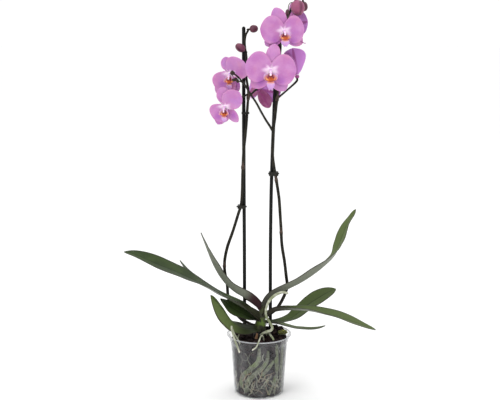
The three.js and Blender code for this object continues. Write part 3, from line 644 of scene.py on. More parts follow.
def lip_material():
    """The colours set on the lip's points, with dark specks in the throat."""
    paint = Paint("lip", roughness=0.42, specular=0.4, Subsurface_Weight=0.15, Subsurface_Scale=0.0015)
    spots = paint.between(paint.noise(750, 1), 0.62, 0.7)
    speckled = paint.times(paint.parts("place")[2], 0.75)
    paint.bump(paint.noise(900, 2), 0.2, 0.0002)
    return paint.finish(paint.coats(paint.tint(), ((124, 34, 50), spots, speckled)))


def leaf_material():
    """Dark green with a groove above, paler below with painted shade beside a lit band, with dark edges and
    a shaded or purple foot.
    """
    paint = Paint("leaf", roughness=0.5, specular=0.12)
    u, across, under = paint.parts("place")
    x, light, pale = paint.parts("plan")
    purple, shaded, _ = paint.parts("tint")
    middle = paint.size(across)
    cloud = paint.noise(38, 3)
    grain = paint.noise(700, 2, along=0.3)
    lines = paint.stripes(x, 0.55, paint.noise(90))
    top = paint.coats(
        paint.shades(light, (36, 51, 26), (98, 112, 66)),
        ((72, 92, 42), paint.between(cloud, 0.35, 0.7), 0.3),
        ((32, 46, 24), lines, 0.18),
        ((28, 40, 22), paint.between(middle, 0.1, 0.0), 0.6))
    below = paint.coats(
        paint.shades(pale, (70, 82, 50), (150, 152, 141)),
        # painted shade on the underside, all but a band a little to one side of the midrib where the light
        # falls
        ((66, 78, 56), paint.between(paint.size(paint.minus(across, 0.45)), 0.1, 0.5), 0.4),
        ((92, 98, 82), paint.between(cloud, 0.4, 0.75), 0.3))
    colour = paint.coats(
        paint.mix(under, top, below),
        ((24, 28, 17), paint.between(paint.minus(u, shaded), 0.3, 0.0), 0.8),
        ((54, 32, 36), paint.between(u, 0.26, 0.12), purple),
        ((40, 30, 30), paint.between(middle, 0.84, 0.97), 0.8))
    paint.bump(paint.plus(paint.times(lines, 0.5), grain), 0.18, 0.0004)
    return paint.finish(colour, paint.plus(0.36, paint.times(grain, 0.2)))


def stem_material():
    """Near-black with fine streaks along the stem, and browner on joints and dry ends."""
    paint = Paint("flower_stem", roughness=0.5, specular=0.15)
    dry = paint.parts("place")[2]
    streak = paint.between(paint.noise(260, 2, along=0.12), 0.5, 0.72)
    colour = paint.mottled(paint.noise(120, 3), 0.35, 0.7, (22, 20, 16), (40, 38, 28))
    colour = paint.coats(colour, ((54, 48, 36), streak, 0.4), ((96, 78, 70), dry))
    paint.bump(paint.noise(900, 2), 0.15, 0.0003)
    return paint.finish(colour)


def bud_material():
    """Wine red, pinker on some buds, with dark seams and a dark tip."""
    paint = Paint("bud", roughness=0.45, specular=0.35, Subsurface_Weight=0.1, Subsurface_Scale=0.002)
    share, _, seam = paint.parts("place")
    pink = paint.parts("plan")[0]
    colour = paint.mottled(paint.noise(160, 3), 0.3, 0.7, (84, 40, 54), (108, 58, 74))
    tip = paint.between(share, 0.75, 1.0)
    colour = paint.coats(colour, ((176, 88, 132), pink), ((70, 26, 50), seam, 0.7), ((78, 34, 40), tip, 0.5))
    paint.bump(paint.noise(800, 2), 0.12, 0.0003)
    return paint.finish(colour)


def root_material():
    """Silvery grey-green skin, darker and mottled where a root is pressed to the wall."""
    paint = Paint("root_skin", roughness=0.75, specular=0.25)
    tip = paint.parts("place")[2]
    green, old, _ = paint.parts("plan")
    pressed = paint.parts("tint")[0]
    cloud = paint.noise(110, 3)
    fine = paint.noise(520, 3)
    silver = paint.coats(
        paint.mottled(cloud, 0.35, 0.68, (142, 146, 124), (182, 184, 166)),
        ((112, 126, 70), green, paint.between(cloud, 0.62, 0.4)),
        ((120, 116, 94), paint.between(fine, 0.5, 0.75), 0.4))
    wet = paint.coats(
        paint.mottled(paint.noise(210, 3), 0.4, 0.6, (50, 56, 40), (100, 104, 86)),
        ((92, 112, 52), paint.between(paint.noise(60, 1), 0.5, 0.65), 0.6))
    colour = paint.mix(pressed, silver, wet)
    paint.bump(fine, 0.5, 0.0006)
    return paint.finish(paint.coats(colour, ((226, 222, 206), tip), ((146, 112, 84), old)))


def crown_material():
    """Brown below, green where the leaves clasp it."""
    paint = Paint("crown", roughness=0.5, specular=0.35)
    share = paint.parts("place")[0]
    cloud = paint.noise(90, 3)
    streak = paint.between(paint.noise(200, 3, along=0.2), 0.5, 0.7)
    leafy = paint.times(paint.between(share, 0.44, 0.56), paint.between(share, 0.76, 0.62))
    leafy = paint.times(leafy, paint.between(cloud, 0.35, 0.6))
    colour = paint.coats(
        paint.mottled(cloud, 0.35, 0.7, (40, 40, 26), (74, 82, 38)),
        ((40, 28, 26), streak, 0.5),
        ((92, 118, 40), leafy, 0.85),
        ((24, 18, 15), paint.between(share, 0.5, 0.34)))
    paint.bump(paint.noise(600, 3), 0.3, 0.0006)
    return paint.finish(colour)


def bark_material():
    """Dark brown with paler flecks, lighter or darker from chip to chip."""
    paint = Paint("bark_chips", roughness=0.85, specular=0.08)
    cloud = paint.noise(140, 4)
    fine = paint.noise(900, 3)
    colour = paint.mottled(cloud, 0.35, 0.7, (20, 15, 16), (44, 32, 31))
    colour = paint.coats(colour, ((88, 66, 58), paint.between(fine, 0.55, 0.8), 0.35))
    paint.bump(paint.plus(cloud, fine), 0.7, 0.0012)
    return paint.finish(paint.mix(1.0, colour, paint.tint(), blend="MULTIPLY"))


def moss_material():
    paint = Paint("moss", roughness=0.9, specular=0.1, Sheen_Weight=0.3)
    colour = paint.mottled(paint.noise(500, 3), 0.35, 0.7, (96, 104, 44), (158, 160, 78))
    paint.bump(paint.noise(1400, 3), 0.8, 0.001)
    return paint.finish(paint.mix(1.0, colour, paint.tint(), blend="MULTIPLY"))


def clear_material():
    """Thin clear plastic: a faint haze, and more to see of it edge on and at the rim."""
    paint = Paint("clear_pot", roughness=0.16, specular=0.3)
    haze = paint.noise(45, 4, along=0.35)
    facing = paint.node("LayerWeight")
    facing.inputs["Blend"].default_value = 0.5
    grazing = paint.between(facing.outputs["Facing"], 0.45, 1.0)
    rim = paint.parts("place")[0]
    alpha = paint.plus(0.03, paint.times(paint.between(haze, 0.3, 0.75), 0.035))
    alpha = paint.plus(alpha, paint.times(grazing, 0.5))
    alpha = paint.math("MAXIMUM", alpha, paint.times(rim, 0.45))
    paint.put(alpha, paint.shader.inputs["Alpha"])
    paint.bump(haze, 0.05, 0.001)
    plastic = paint.mottled(haze, 0.3, 0.7, (196, 198, 204), (226, 228, 230))
    return paint.finish(paint.coats(plastic, ((150, 152, 154), grazing)))


def rod_material(name, dark, light, roughness):
    paint = Paint(name, roughness=roughness, specular=0.15)
    streak = paint.noise(300, 3, along=0.05)
    paint.bump(paint.noise(1200, 2), 0.1, 0.0002)
    colour = paint.mottled(streak, 0.4, 0.7, dark, light)
    return paint.finish(colour, paint.plus(roughness, paint.times(streak, 0.1)))


def floor_material():
    paint = Paint("pale_floor", roughness=0.8, specular=0.1)
    return paint.finish(paint.mix(paint.noise(3, 2), (0.95, 0.95, 0.95), (0.97, 0.97, 0.97)))


MATERIALS = {
    "tepal": tepal_material(),
    "lip": lip_material(),
    "leaf": leaf_material(),
    "stem": stem_material(),
    "bud": bud_material(),
    "root": root_material(),
    "crown": crown_material(),
    "bark": bark_material(),
    "moss": moss_material(),
    "clear": clear_material(),
    "stake": rod_material("stake_coating", (12, 13, 12), (26, 28, 26), 0.4),
    "clip": rod_material("clip_plastic", (26, 26, 23), (44, 43, 38), 0.3),
}


# ------------------------------------------------------------------ pot and growing medium

WALL_SLOPE = (POT["neckRadius"] - POT["baseRadius"]) / POT["neckHeight"]
BEAD = 1.2  # the rolled rim's radius
RIM_DEPTH = 2.9  # how far down the rim's look reaches
NOTCH_DEPTH = 10


def inner_radius(z):
    return POT["baseRadius"] + WALL_SLOPE * z - POT["wall"]


def on_wall(degrees, z, inset):
    """The point that far inside the wall, at degrees round from the pot's front."""
    reach = inner_radius(z) - inset
    return [reach * math.sin(math.radians(degrees)), -reach * math.cos(math.radians(degrees)), z]


def pot_profile():
    """The wall's outline: under the floor, up the outside, over the rim and down the inside."""
    base, neck, collar = POT["baseRadius"], POT["neckRadius"], POT["collarRadius"]
    bend, top, wall, floor = POT["neckHeight"], POT["height"], POT["wall"], POT["floor"]
    outer = [[0, 0], [base - 4, 0], [base - 1, 0], [base - 0.2, 0.4], [base, 1.2]]
    outer += [[base + WALL_SLOPE * z, z] for z in np.linspace(6, bend, 12)]
    flare = [[neck + 1.2, bend + 0.6], [neck + 1.9, bend + 2.2], [collar - 0.6, top - 4], [collar, top - 3]]
    bead = [[POT["rimRadius"] - BEAD + BEAD * math.cos(a), top - BEAD + BEAD * math.sin(a)]
            for a in np.radians([-80, -40, 0, 40, 80, 120])]
    inner = [[collar - 0.8, top - 0.8], [collar - wall - 0.2, top - 3]]
    inner += [[neck + 1.7 - wall, bend + 2.6], [neck - wall, bend]]
    inner += [[inner_radius(z), z] for z in np.linspace(bend - 6, 5, 11)]
    inner += [[inner_radius(2), floor + 1], [inner_radius(2) - 1.2, floor], [0, floor]]
    return outer + flare + bead + inner


def lathe(profile, sides):
    """Points and faces of a closed shell, from a profile that starts and ends on the axis."""
    rings = np.array(profile[1:-1], float)
    points = revolve(rings[:, 0], rings[:, 1], around(sides))
    faces = ring_faces(len(rings), sides)[:-2]
    first = len(points)
    top_ring = first - sides
    after = [(k + 1) % sides for k in range(sides)]
    faces += [(first, after[k], k) for k in range(sides)]
    faces += [(first + 1, top_ring + k, top_ring + after[k]) for k in range(sides)]
    return np.vstack([points, [0, 0, profile[0][1]], [0, 0, profile[-1][1]]]), faces


def notch_cutter():
    """Boxes round the pot's foot, one for each drainage notch."""
    corners = np.array([[x, y, z] for x in (-0.5, 0.5) for y in (-0.5, 0.5) for z in (-0.5, 0.5)])
    size = np.array([POT["notchWidth"], NOTCH_DEPTH, 2 * POT["notchHeight"]])
    box = corners * size + [0, -POT["baseRadius"], 0]
    sides = [(0, 1, 3, 2), (4, 6, 7, 5), (0, 4, 5, 1), (2, 3, 7, 6), (0, 2, 6, 4), (1, 5, 7, 3)]
    points, faces = [], []
    for k in range(POT["notches"]):
        faces += [[i + 8 * k for i in face] for face in sides]
        points += (box @ turn_z(360 * (k + 0.5) / POT["notches"]).T * MM).tolist()
    mesh = bpy.data.meshes.new("notches")
    mesh.from_pydata(points, [], faces)
    cutter = bpy.data.objects.new("notches", mesh)
    bpy.context.scene.collection.objects.link(cutter)
    return cutter


def cut_notches(pot):
    cutter = notch_cutter()
    cut = pot.modifiers.new("notches", "BOOLEAN")
    cut.operation = "DIFFERENCE"
    cut.solver = "EXACT"
    cut.object = cutter
    bpy.context.view_layer.update()
    shown = pot.evaluated_get(bpy.context.evaluated_depsgraph_get())
    mesh = bpy.data.meshes.new_from_object(shown)
    pot.modifiers.clear()
    pot.data = mesh
    bpy.data.objects.remove(cutter)


def make_pot():
    points, faces = lathe(pot_profile(), 120)
    place = np.zeros((len(points), 3))
    place[:, 0] = points[:, 2] > POT["height"] - RIM_DEPTH
    surface = Surface()
    surface.add(points, faces, place)
    pot = surface.build("clear_pot", MATERIALS["clear"])
    cut_notches(pot)
    dress(pot, "clear_plastic", "pot")


def medium_level(x, y):
    """Height of the bark's top, with its chunky hollows."""
    coarse = np.sin(0.24 * x + 1.1) * np.cos(0.21 * y - 0.5)
    fine = np.sin(0.61 * x - 0.37 * y) * np.cos(0.52 * y + 0.3 * x)
    heap = np.exp(-((x - 28) ** 2 + (y - 22) ** 2) / 600)
    return MEDIUM["level"] + MEDIUM["chunk"] * (0.6 * coarse + 0.5 * fine) + MEDIUM["heap"] * heap


ROOT_REACH = 9
ROOT_FADE = 4


def near_root(degrees, z):
    """1 on a root that is pressed to the wall, falling to 0 at ROOT_REACH from its middle."""
    nearest = np.full(np.broadcast(degrees, z).shape, 99.0)
    for root in WALL_ROOTS.values():
        for a, height, _ in smooth_curve([[a, height, 0] for a, height in root["path"]], 6):
            aside = np.radians((degrees - a + 180) % 360 - 180) * inner_radius(height)
            nearest = np.minimum(nearest, np.hypot(aside, z - height))
    return np.clip((ROOT_REACH - nearest) / ROOT_FADE, 0, 1)


def bark_core(surface):
    """The bark's mass, a lumpy cylinder just inside the pot's wall."""
    sides = 120
    angle = around(sides)
    edge_height = MEDIUM["level"] - 5
    heights = np.linspace(MEDIUM["bottom"] + 0.5, edge_height, 38)
    rings = []
    for z in heights:
        keeps_back = 1.6 + 2.2 * near_root(np.degrees(angle) + 90, z)
        rings.append([inner_radius(z) - keeps_back, z * np.ones(sides)])
    for share in (1.0, 0.97, 0.9, 0.8, 0.68, 0.55, 0.42, 0.28, 0.14):
        reach = (inner_radius(edge_height) - 1.0) * share
        top = medium_level(reach * np.cos(angle), reach * np.sin(angle)) - 0.4
        rings.append([reach * np.ones(sides), top])
    radii, levels = np.array(rings).transpose(1, 0, 2)
    points = np.stack([radii * np.cos(angle), radii * np.sin(angle), levels], axis=-1).reshape(-1, 3)
    swell = ripple(points, 3.1) * 0.7 + ripple(points, 1.3, 4.0) * 0.3
    beside = (np.arange(len(rings)) < len(heights)).repeat(sides)
    points = points + unit(points * [1, 1, 0]) * (swell * beside)[:, None]
    points[:, 2] += np.where(beside, 0, swell)
    surface.add(points, ring_faces(len(rings), sides), (0, 0, 0), tint=(0.8, 0.8, 0.85))


def chip(surface, centre, size, turn, seed, tint):
    """A lump with flattened sides."""
    points, faces, place = lump((0, 0, 0), size, seed, rough=0.3, detail=7)
    half = np.asarray(size) / 2
    points = np.sign(points) * np.abs(points / half) ** 0.7 * half
    surface.add(points @ turn.T + np.asarray(centre), faces, place, tint=tint)


HEAPED_CHIPS = 140
WALL_CHIPS = 260
EDGE_CHIPS = 46
# What the chips leave free: x, y and radius of the crown, the stakes and the loose root.
POSTS = [(1, 1, 13), (-27, 18, 3), (22, 18, 3), (-20, -2, 2)]
POST_MARGIN = 4


def heap_chips(surface, chance):
    """Chips that lie on top of the medium."""
    edge = inner_radius(MEDIUM["level"]) - MEDIUM["gap"] - 4
    placed = 0
    while placed < HEAPED_CHIPS:
        x, y = chance.uniform(-edge, edge), chance.uniform(-edge, edge)
        on_post = any(math.hypot(x - a, y - b) <= radius + POST_MARGIN for a, b, radius in POSTS)
        if on_post or math.hypot(x, y) > edge:
            continue
        size = (chance.uniform(7, 14), chance.uniform(5, 9), chance.uniform(3, 5))
        turn = turn_z(chance.uniform(0, 360)) @ turn_x(chance.uniform(-28, 28))
        shade = chance.uniform(0.7, 1.7)
        tint = (shade, shade * 0.95, shade * chance.uniform(0.85, 1))
        chip(surface, (x, y, float(medium_level(x, y)) + 0.2), size, turn, placed * 1.3, tint)
        placed += 1


def wall_chips(surface, chance):
    """Chips that press against the wall, wherever no root does."""
    for k in range(WALL_CHIPS):
        degrees, z = chance.uniform(0, 360), chance.uniform(6, 94)
        if near_root(degrees, z) > 0:
            continue
        size = (chance.uniform(6, 14), 3.0, chance.uniform(4, 8))
        shade = chance.choice((0.5, 0.8, 1.1, 1.8, 2.6))
        chip(surface, on_wall(degrees, z, 1.9), size, turn_z(degrees), k * 0.7, (shade, shade * 0.97, shade))


def edge_chips(surface, chance):
    """Chips that fill the medium's sunk edge, all round but for the front."""
    for k in range(EDGE_CHIPS):
        degrees, z = chance.uniform(-40, 220), chance.uniform(99, 103)
        centre = on_wall(degrees + 90, z, 4.5 - 0.5 * (z - 99))
        chip(surface, centre, (5, chance.uniform(7, 12), 5), turn_z(degrees), k * 0.9, (0.9, 0.85, 0.85))


def make_medium():
    surface = Surface()
    chance = random.Random(7)
    bark_core(surface)
    heap_chips(surface, chance)
    wall_chips(surface, chance)
    edge_chips(surface, chance)
    surface.show("bark_medium", "bark", "growing_medium", "growing_medium")


# ------------------------------------------------------------------ roots, crown, stakes

ROOT_GREEN = {"aerial_root_1": 0.4, "aerial_root_4": 0.4}
PALE_TIPS = {"aerial_root_2": 1.0, "aerial_root_3": 1.0}
# A thin dark strand along the inside of the wall: degrees round from the front and height.
DARK_STRAND = [(-75, 95), (-68, 82), (-59, 70), (-49, 57)]
ROOTLETS = 96
ROOTLET_POINTS = 5
ROOTLET_GAP = 0.25
MOSS_STRANDS = 160
MOSS_SHADES = [(0.3, 0.3, 0.3), (0.7, 0.75, 0.6), (1.2, 1.2, 1.1), (1.6, 1.5, 1.4)]


def make_root(name, path, radii, green=0.5, pale_tip=0.0, old=0.0, pressed=0.0):
    seed = sum(ord(letter) for letter in name) * 0.1
    def uneven(share, angle, points):
        return 1 + 0.07 * ripple(points, 4.0, seed) + 0.04 * ripple(points, 1.5, seed)
    points, faces, place = tube(path, radii, sides=14, step=1.6, shape=uneven)
    place[:, 2] = np.clip((place[:, 0] - 0.9) / 0.1, 0, 1) * pale_tip
    surface = Surface()
    surface.add(points, faces, place, plan=(green, old, 0), tint=(pressed, 0, 0))
    surface.show("skin_" + name, "root", "root", name)


def make_roots():
    for name, root in WALL_ROOTS.items():
        inset = max(root["radii"]) + ROOT_GAP
        path = [on_wall(degrees, z, inset) for degrees, z in root["path"]]
        make_root(name, path, root["radii"], pressed=0.8)
    for name, root in AERIAL_ROOTS.items():
        green, pale_tip = ROOT_GREEN.get(name, 0.1), PALE_TIPS.get(name, 0.2)
        make_root(name, root["path"], root["radii"], green, pale_tip)


def make_rootlets():
    """Fine roots that wander over the inside of the wall, two in three of them low down in front."""
    chance = random.Random(11)
    surface = Surface()
    for k in range(ROOTLETS):
        low = k % 3 > 0
        degrees = chance.uniform(-75, 80) if low else chance.uniform(-180, 180)
        z = chance.uniform(3, 34) if low else chance.uniform(8, 85)
        radius = chance.uniform(0.35, 1.1) if low else chance.uniform(0.3, 0.6)
        lean = chance.uniform(-1, 1)
        path = []
        for _ in range(ROOTLET_POINTS):
            path.append(on_wall(degrees, z, radius + ROOTLET_GAP))
            degrees += 7 * lean + chance.uniform(-5, 5)
            z = min(max(z + chance.uniform(1, 8), 4), 94)
        points, faces, place = tube(path, [radius, radius * 0.9, radius * 0.6], sides=7, step=2.2)
        place[:, 2] = chance.uniform(0, 0.2)
        brown = 0.6 if low and k % 5 == 0 else 0.0
        surface.add(points, faces, place, plan=(0, brown, 0), tint=(0.7, 0, 0))
    surface.show("fine_roots", "root", "root")


def make_dark_strand():
    # a thin dark strand of stem colour along the inside of the wall
    path = [on_wall(degrees, z, 1.0) for degrees, z in DARK_STRAND]
    surface = Surface()
    surface.add(*tube(path, [0.8, 0.7, 0.6], sides=8, step=2))
    surface.show("dark_strand", "stem", "root")


def make_root_stub():
    x, y, z = ROOT_STUB
    path = [[x - 1, y + 1, z - 6], [x, y, z], [x + 1, y - 1, z + 6.5]]
    make_root("root_stub", path, [2.6, 2.4, 1.6], green=0.0, old=1.0)


def make_moss():
    """A tuft of short strands that lean outwards from a dark lump."""
    surface = Surface()
    chance = random.Random(3)
    points, faces, place = lump(MOSS_TUFT, (15, 13, 8), 2.0, rough=0.3, detail=18)
    surface.add(points, faces, place, tint=(0.25, 0.25, 0.25))
    for _ in range(MOSS_STRANDS):
        angle, spread = chance.uniform(0, 2 * math.pi), chance.uniform(0, 1)
        out = np.array([spread * math.cos(angle), spread * math.sin(angle), 0])
        foot = out * [7.4, 6.6, 0] + [0, 0, 3.8 - 3.2 * spread**2] + MOSS_TUFT
        tip = foot + 3 * out + [0, 0, chance.uniform(0.6, 2.4)]
        middle = (foot + tip) / 2 + [0, 0, 0.2]
        points, faces, place = tube([foot, middle, tip], [0.6, 0.5, 0.3], sides=5, step=0.8)
        surface.add(points, faces, place, tint=chance.choice(MOSS_SHADES))
    surface.show("moss_cushion", "moss", "moss", "moss_tuft")


def make_crown():
    def ridges(share, angle, points):
        return 1 + 0.05 * np.sin(2 * angle + 14 * share) + 0.03 * ripple(points, 3)
    surface = Surface()
    surface.add(*tube(CROWN["path"], CROWN["radii"], sides=28, step=1.5, shape=ridges))
    surface.show("leaf_crown", "crown", "stem_base", "crown")


def make_stakes():
    for name, path in STAKES.items():
        surface = Surface()
        surface.add(*tube(path, [STAKE_RADIUS, STAKE_RADIUS], sides=20, step=8))
        surface.show("rod_" + name, "stake", "stake", name)


# ------------------------------------------------------------------ leaves

CLASP_REACH = 0.25
LEAF_COLUMNS = 21
LEAF_STEP = 3.2  # from one row of points to the next, on average
# How light each leaf's upper side is, how pale its underside, how purple its foot and how far up
# the blade the foot's shade reaches.
LEAF_TONES = {
    "leaf_left_1": (0.1, 0.6, 0.2, 0.0),
    "leaf_left_2": (0.1, 0.9, 1.0, 0.0),
    "leaf_left_3": (0.1, 0.5, 0.2, 0.0),
    "leaf_left_4": (0.8, 0.5, 0.0, 0.22),
    "leaf_left_5": (0.1, 0.4, 0.0, 0.0),
    "leaf_right_1": (0.75, 0.9, 0.2, 0.0),
    "leaf_right_2": (0.45, 0.8, 0.0, 0.0),
    "leaf_right_3": (0.65, 0.7, 0.3, 0.1),
    "leaf_right_4": (0.6, 0.7, 0.0, 0.0),
}


def outline(u, width, base, widest, clasp=0.0, neck=1.0, blunt=1.9, least=1.0):
    """Half of a blade's width at each share u of its length."""
    foot = 1 + clasp * np.maximum(1 - u / CLASP_REACH, 0)
    swelling = np.sin(math.pi / 2 * np.minimum(u / widest, 1)) ** neck
    rising = width / 2 * foot * (base + (1 - base) * swelling)
    t = np.clip((u - widest) / (1 - widest), 0, 1)
    falling = np.maximum(width / 2 * (1 - t**blunt) ** (1 / 1.5), least)
    return np.where(u < widest, rising, falling)


def leaf_grid(spec, u, across, half):
    """The blade's middle surface: folded at the midrib, rolled, grooved and a little wavy."""
    centre = spaced(spec["path"], u)
    forward = unit(np.gradient(centre, axis=0))
    away = unit(np.cross(forward, [0, 0, 1]))
    away *= np.where(away[:, 1] < 0, -1, 1)[:, None]
    up = np.cross(away, forward)
    up *= np.where(up[:, 2] < 0, -1, 1)[:, None]
    roll = np.radians(value_at(spec["roll"], u))[:, None]
    fold = np.radians(value_at(spec["fold"], u))
    side = away * np.cos(roll) + up * np.sin(roll)
    face = up * np.cos(roll) - away * np.sin(roll)
    wide = (half * np.cos(fold))[:, None] * across
    high = (half * np.sin(fold))[:, None] * np.abs(across) ** 1.3
    groove = -0.5 * np.exp(-((across / 0.06) ** 2)) * np.minimum(half / 8, 1)[:, None]
    wave = 0.7 * np.sin(u * length_of(spec["path"]) / 17)[:, None] * np.abs(across) ** 3
    height = (high + groove + wave)[..., None]
    return centre[:, None] + side[:, None] * wide[..., None] + face[:, None] * height


def make_leaf(name, spec):
    even = np.linspace(-1, 1, LEAF_COLUMNS)
    across = np.sin(np.linspace(-math.pi / 2, math.pi / 2, LEAF_COLUMNS)) * 0.6 + even * 0.4
    if spec["path"][-1][0] < 0:
        across = across[::-1]
    u = 1 - (1 - np.linspace(0, 1, int(length_of(spec["path"]) / LEAF_STEP))) ** 1.3
    half = outline(u, spec["width"], spec["base"], spec["widest"], spec["clasp"], spec.get("neck", 1))
    edge = np.clip((1 - np.abs(across)) / 0.12, 0, 1) ** 0.5
    thickness = LEAF_THICKNESS * (1 - 0.45 * np.abs(across)) * (0.25 + 0.75 * edge)
    grid = leaf_grid(spec, u, across, half)
    points, faces, side = blade(grid, np.tile(thickness, (len(u), 1)))
    light, pale, purple, shaded = LEAF_TONES[name]
    place = np.stack([*both_sides(u, across), side], axis=1)
    plan = np.full((len(points), 3), (0, light, pale))
    plan[:, 0] = np.tile((half[:, None] * across).ravel(), 2)
    surface = Surface()
    surface.add(points, faces, place, plan, tint=(purple, shaded, 0))
    surface.show("blade_" + name, "leaf", "leaf", name)


# ------------------------------------------------------------------ flowers

SEPAL = {"width": 30, "claw": 0.26, "widest": 0.5, "setback": 2.8, "arch": 0.14}
PETAL = {"width": 54, "claw": 0.38, "widest": 0.48, "setback": 0.4, "arch": 0.06}
TEPALS = [dict(SEPAL, length=48), dict(SEPAL, length=43), dict(SEPAL, length=43),
          dict(PETAL, length=46), dict(PETAL, length=46)]
TEPAL_ROWS = 30
TEPAL_COLUMNS = 23
TEPAL_THICKNESS = 0.9
LIP_THICKNESS = 1.0
FLOWER_BACK = 6.75
LIP_CLOSES = 65  # the angle of the tepals at which a lip would have no width left
# How dark the backs of a flower's sepals are, where it isn't the full depth.
SEPAL_DEPTH = {"bloom_3": 0.6, "bloom_5": 0.4}
# Long curled tips of sepals, in the flower's own frame.
CURLED_TIPS = {
    "bloom_1": [[30, -17, -0.5], [35, -21, 0.5], [39, -23.5, 1], [42, -24.5, 1.5], [44.5, -24, 2]],
}


def throat_glow_and_shade(points):
    """White round the flower's middle in the red channel, painted violet shade at both sides below it in the
    green.
    """
    x, y = points[:, 0], points[:, 1]
    angle = np.arctan2(x, y)
    reach = 10 + 3 * np.cos(2 * angle + math.pi) + 2.2 * np.sin(7 * angle)
    white = np.clip(1.35 - np.hypot(x, y + 1) / reach, 0, 1)
    # painted violet shade low on both sides, beside the lip
    violet_shade = np.clip(1.3 - np.hypot((np.abs(x) - 17) / 8, (y + 20) / 9), 0, 1)
    return np.stack([white, violet_shade, np.ones_like(x)], axis=1)


def tepal(surface, shape, azimuth, reach, spread, close, seed, deep):
    """One sepal or petal on the flower's cone, arched back, with a waved edge and a groove."""
    turn, lean = math.radians(azimuth), math.radians(close)
    u = np.sin(np.linspace(0, 1, TEPAL_ROWS) * math.pi / 2)
    even = np.linspace(1, -1, TEPAL_COLUMNS)
    s = (np.sin(even * math.pi / 2) + even) / 2
    half = spread * outline(u, shape["width"], shape["claw"], shape["widest"], blunt=2.4, least=0.3)
    x = half[:, None] * s
    y = np.repeat((shape["length"] * reach * u * math.cos(lean))[:, None], TEPAL_COLUMNS, axis=1)
    radius = np.hypot(x, y)
    z = radius * math.tan(lean) - shape["arch"] * radius**2 / shape["length"] - shape["setback"]
    rim = np.abs(s) ** 3 * np.sin(math.pi * u)[:, None]
    z = z + 0.5 * rim * np.sin(9 * u[:, None] + 2.1 * s + seed)
    z = z - 0.4 * np.exp(-((s / 0.09) ** 2)) * (1 - u[:, None]) ** 0.5
    across = x * math.cos(turn) + y * math.sin(turn)
    grid = np.stack([across, y * math.cos(turn) - x * math.sin(turn), z], axis=-1)
    edge = np.clip((1 - np.abs(s)) / 0.15, 0, 1) ** 0.5
    thickness = TEPAL_THICKNESS * (0.35 + 0.65 * edge)
    points, faces, side = blade(grid, np.tile(thickness, (TEPAL_ROWS, 1)))
    place = np.stack([*both_sides(u, s), side], axis=1)
    plan = np.stack([np.tile(x.ravel(), 2), np.tile(y.ravel(), 2), np.full(len(points), deep)], axis=1)
    surface.add(points, faces, place, plan, throat_glow_and_shade(points))


def make_tepals(name, spec, turn):
    surface = Surface()
    sepal_depth = SEPAL_DEPTH.get(name, 1.0)
    for k, shape in enumerate(TEPALS):
        deep = sepal_depth if shape["width"] == SEPAL["width"] else 0.0
        fan, reach, spread = spec["fan"][k], spec["reach"][k], spec["spread"][k]
        tepal(surface, shape, fan, reach, spread, spec["close"], 1.7 * k, deep)
    points, faces, place = lump((0, 0, -2.4), (9.4, 9.4, 8.8), 1.0, rough=0.04)
    place[:] = (0.15, 0, 0)
    place[:, 2] = points[:, 2] < -1.5
    surface.add(points, faces, place, plan=(0, 0, 0.6), tint=(1, 0, 1))
    if name in CURLED_TIPS:
        points, faces, _ = tube(CURLED_TIPS[name], [1.6, 1.4, 1.1, 0.9, 0.5], sides=8, step=1)
        surface.add(points, faces, (0.9, 0.5, 1), plan=(0.7, 0.7, 0.7))
    surface.points = [p * spec["size"] for p in surface.points]
    surface.show("petals_" + name, "tepal", "tepal", name + "_tepals", turn=turn, at=spec["at"])


COLUMN_TIP = np.array(rgb(252, 222, 242))
WHITE_PINK = np.array(rgb(238, 206, 236))
LILAC = np.array(rgb(218, 174, 224))
MID_LILAC = np.array(rgb(232, 194, 228))
ORANGE = np.array(rgb(186, 84, 22))
# Peach that is partly the lip's colour and partly a painted highlight where the throat's front rim and the
# callus catch the light.
PEACH_AND_HIGHLIGHT = np.array(rgb(240, 166, 106))
MAROON = np.array(rgb(104, 28, 60))
PURPLE = np.array(rgb(150, 74, 172))
# How full the middle lobe is, where it isn't the usual width.
FULL_LOBES = {"bloom_1": 1.3}
UNSPECKLED = [1, 1, 0]


def blend(share, a, b):
    share = np.clip(share, 0, 1)[..., None]
    return a * (1 - share) + b * share


def lip_tint(points, outside):
    """Orange in the throat, peach round it that is partly a painted highlight on the lit front rim, pale
    lobes with lilac ends, maroon by the column.
    """
    x, y = points[:, 0], points[:, 1]
    throat = np.hypot(x / 11, (y + 17) / 7.5)
    tint = blend((throat - 0.6) / 0.4, ORANGE, PEACH_AND_HIGHLIGHT)
    tint = blend((throat - 1.0) / 0.4, tint, WHITE_PINK)
    tint = blend((-y - 24) / 4, tint, MID_LILAC)
    tint = blend(1.2 - np.hypot(x / 5, (y + 11) / 3), tint, MAROON)
    tint = blend((np.hypot(x, y + 14) - 12.5) / 3, tint, LILAC)
    return blend(outside, tint, PURPLE)


def add_lobe(surface, x, y, z, u, s, specks, shaded):
    """A blade on this grid, specked inside, with a purple shade on its outer side."""
    grid = np.stack(np.broadcast_arrays(x, y, z), axis=-1)
    points, faces, outside = blade(grid, np.full(grid.shape[:2], LIP_THICKNESS))
    along, across = both_sides(u, s)
    place = np.stack([along, across, np.clip(1 - specks * along, 0, 1)], axis=1)
    surface.add(points, faces, place, tint=lip_tint(points, outside * shaded))


def side_lobe(surface, side):
    """A round lobe that stands beside the throat and cups it."""
    u = np.linspace(0, 1, 18)
    s = np.linspace(-1, 1, 15) * -side
    rows = u[:, None]
    half = 7 * np.sqrt(1 - (0.97 * np.maximum(rows - 0.4, 0) / 0.6) ** 2)
    x = side * (1 + 12 * rows)
    y = -15 + s * half + 2 * rows
    z = 5.5 - 1.5 * s + (3 * rows + 3 * rows * rows) + 1.6 * s**2 * rows
    add_lobe(surface, x, y, z, u, s, specks=1.6, shaded=0.4)


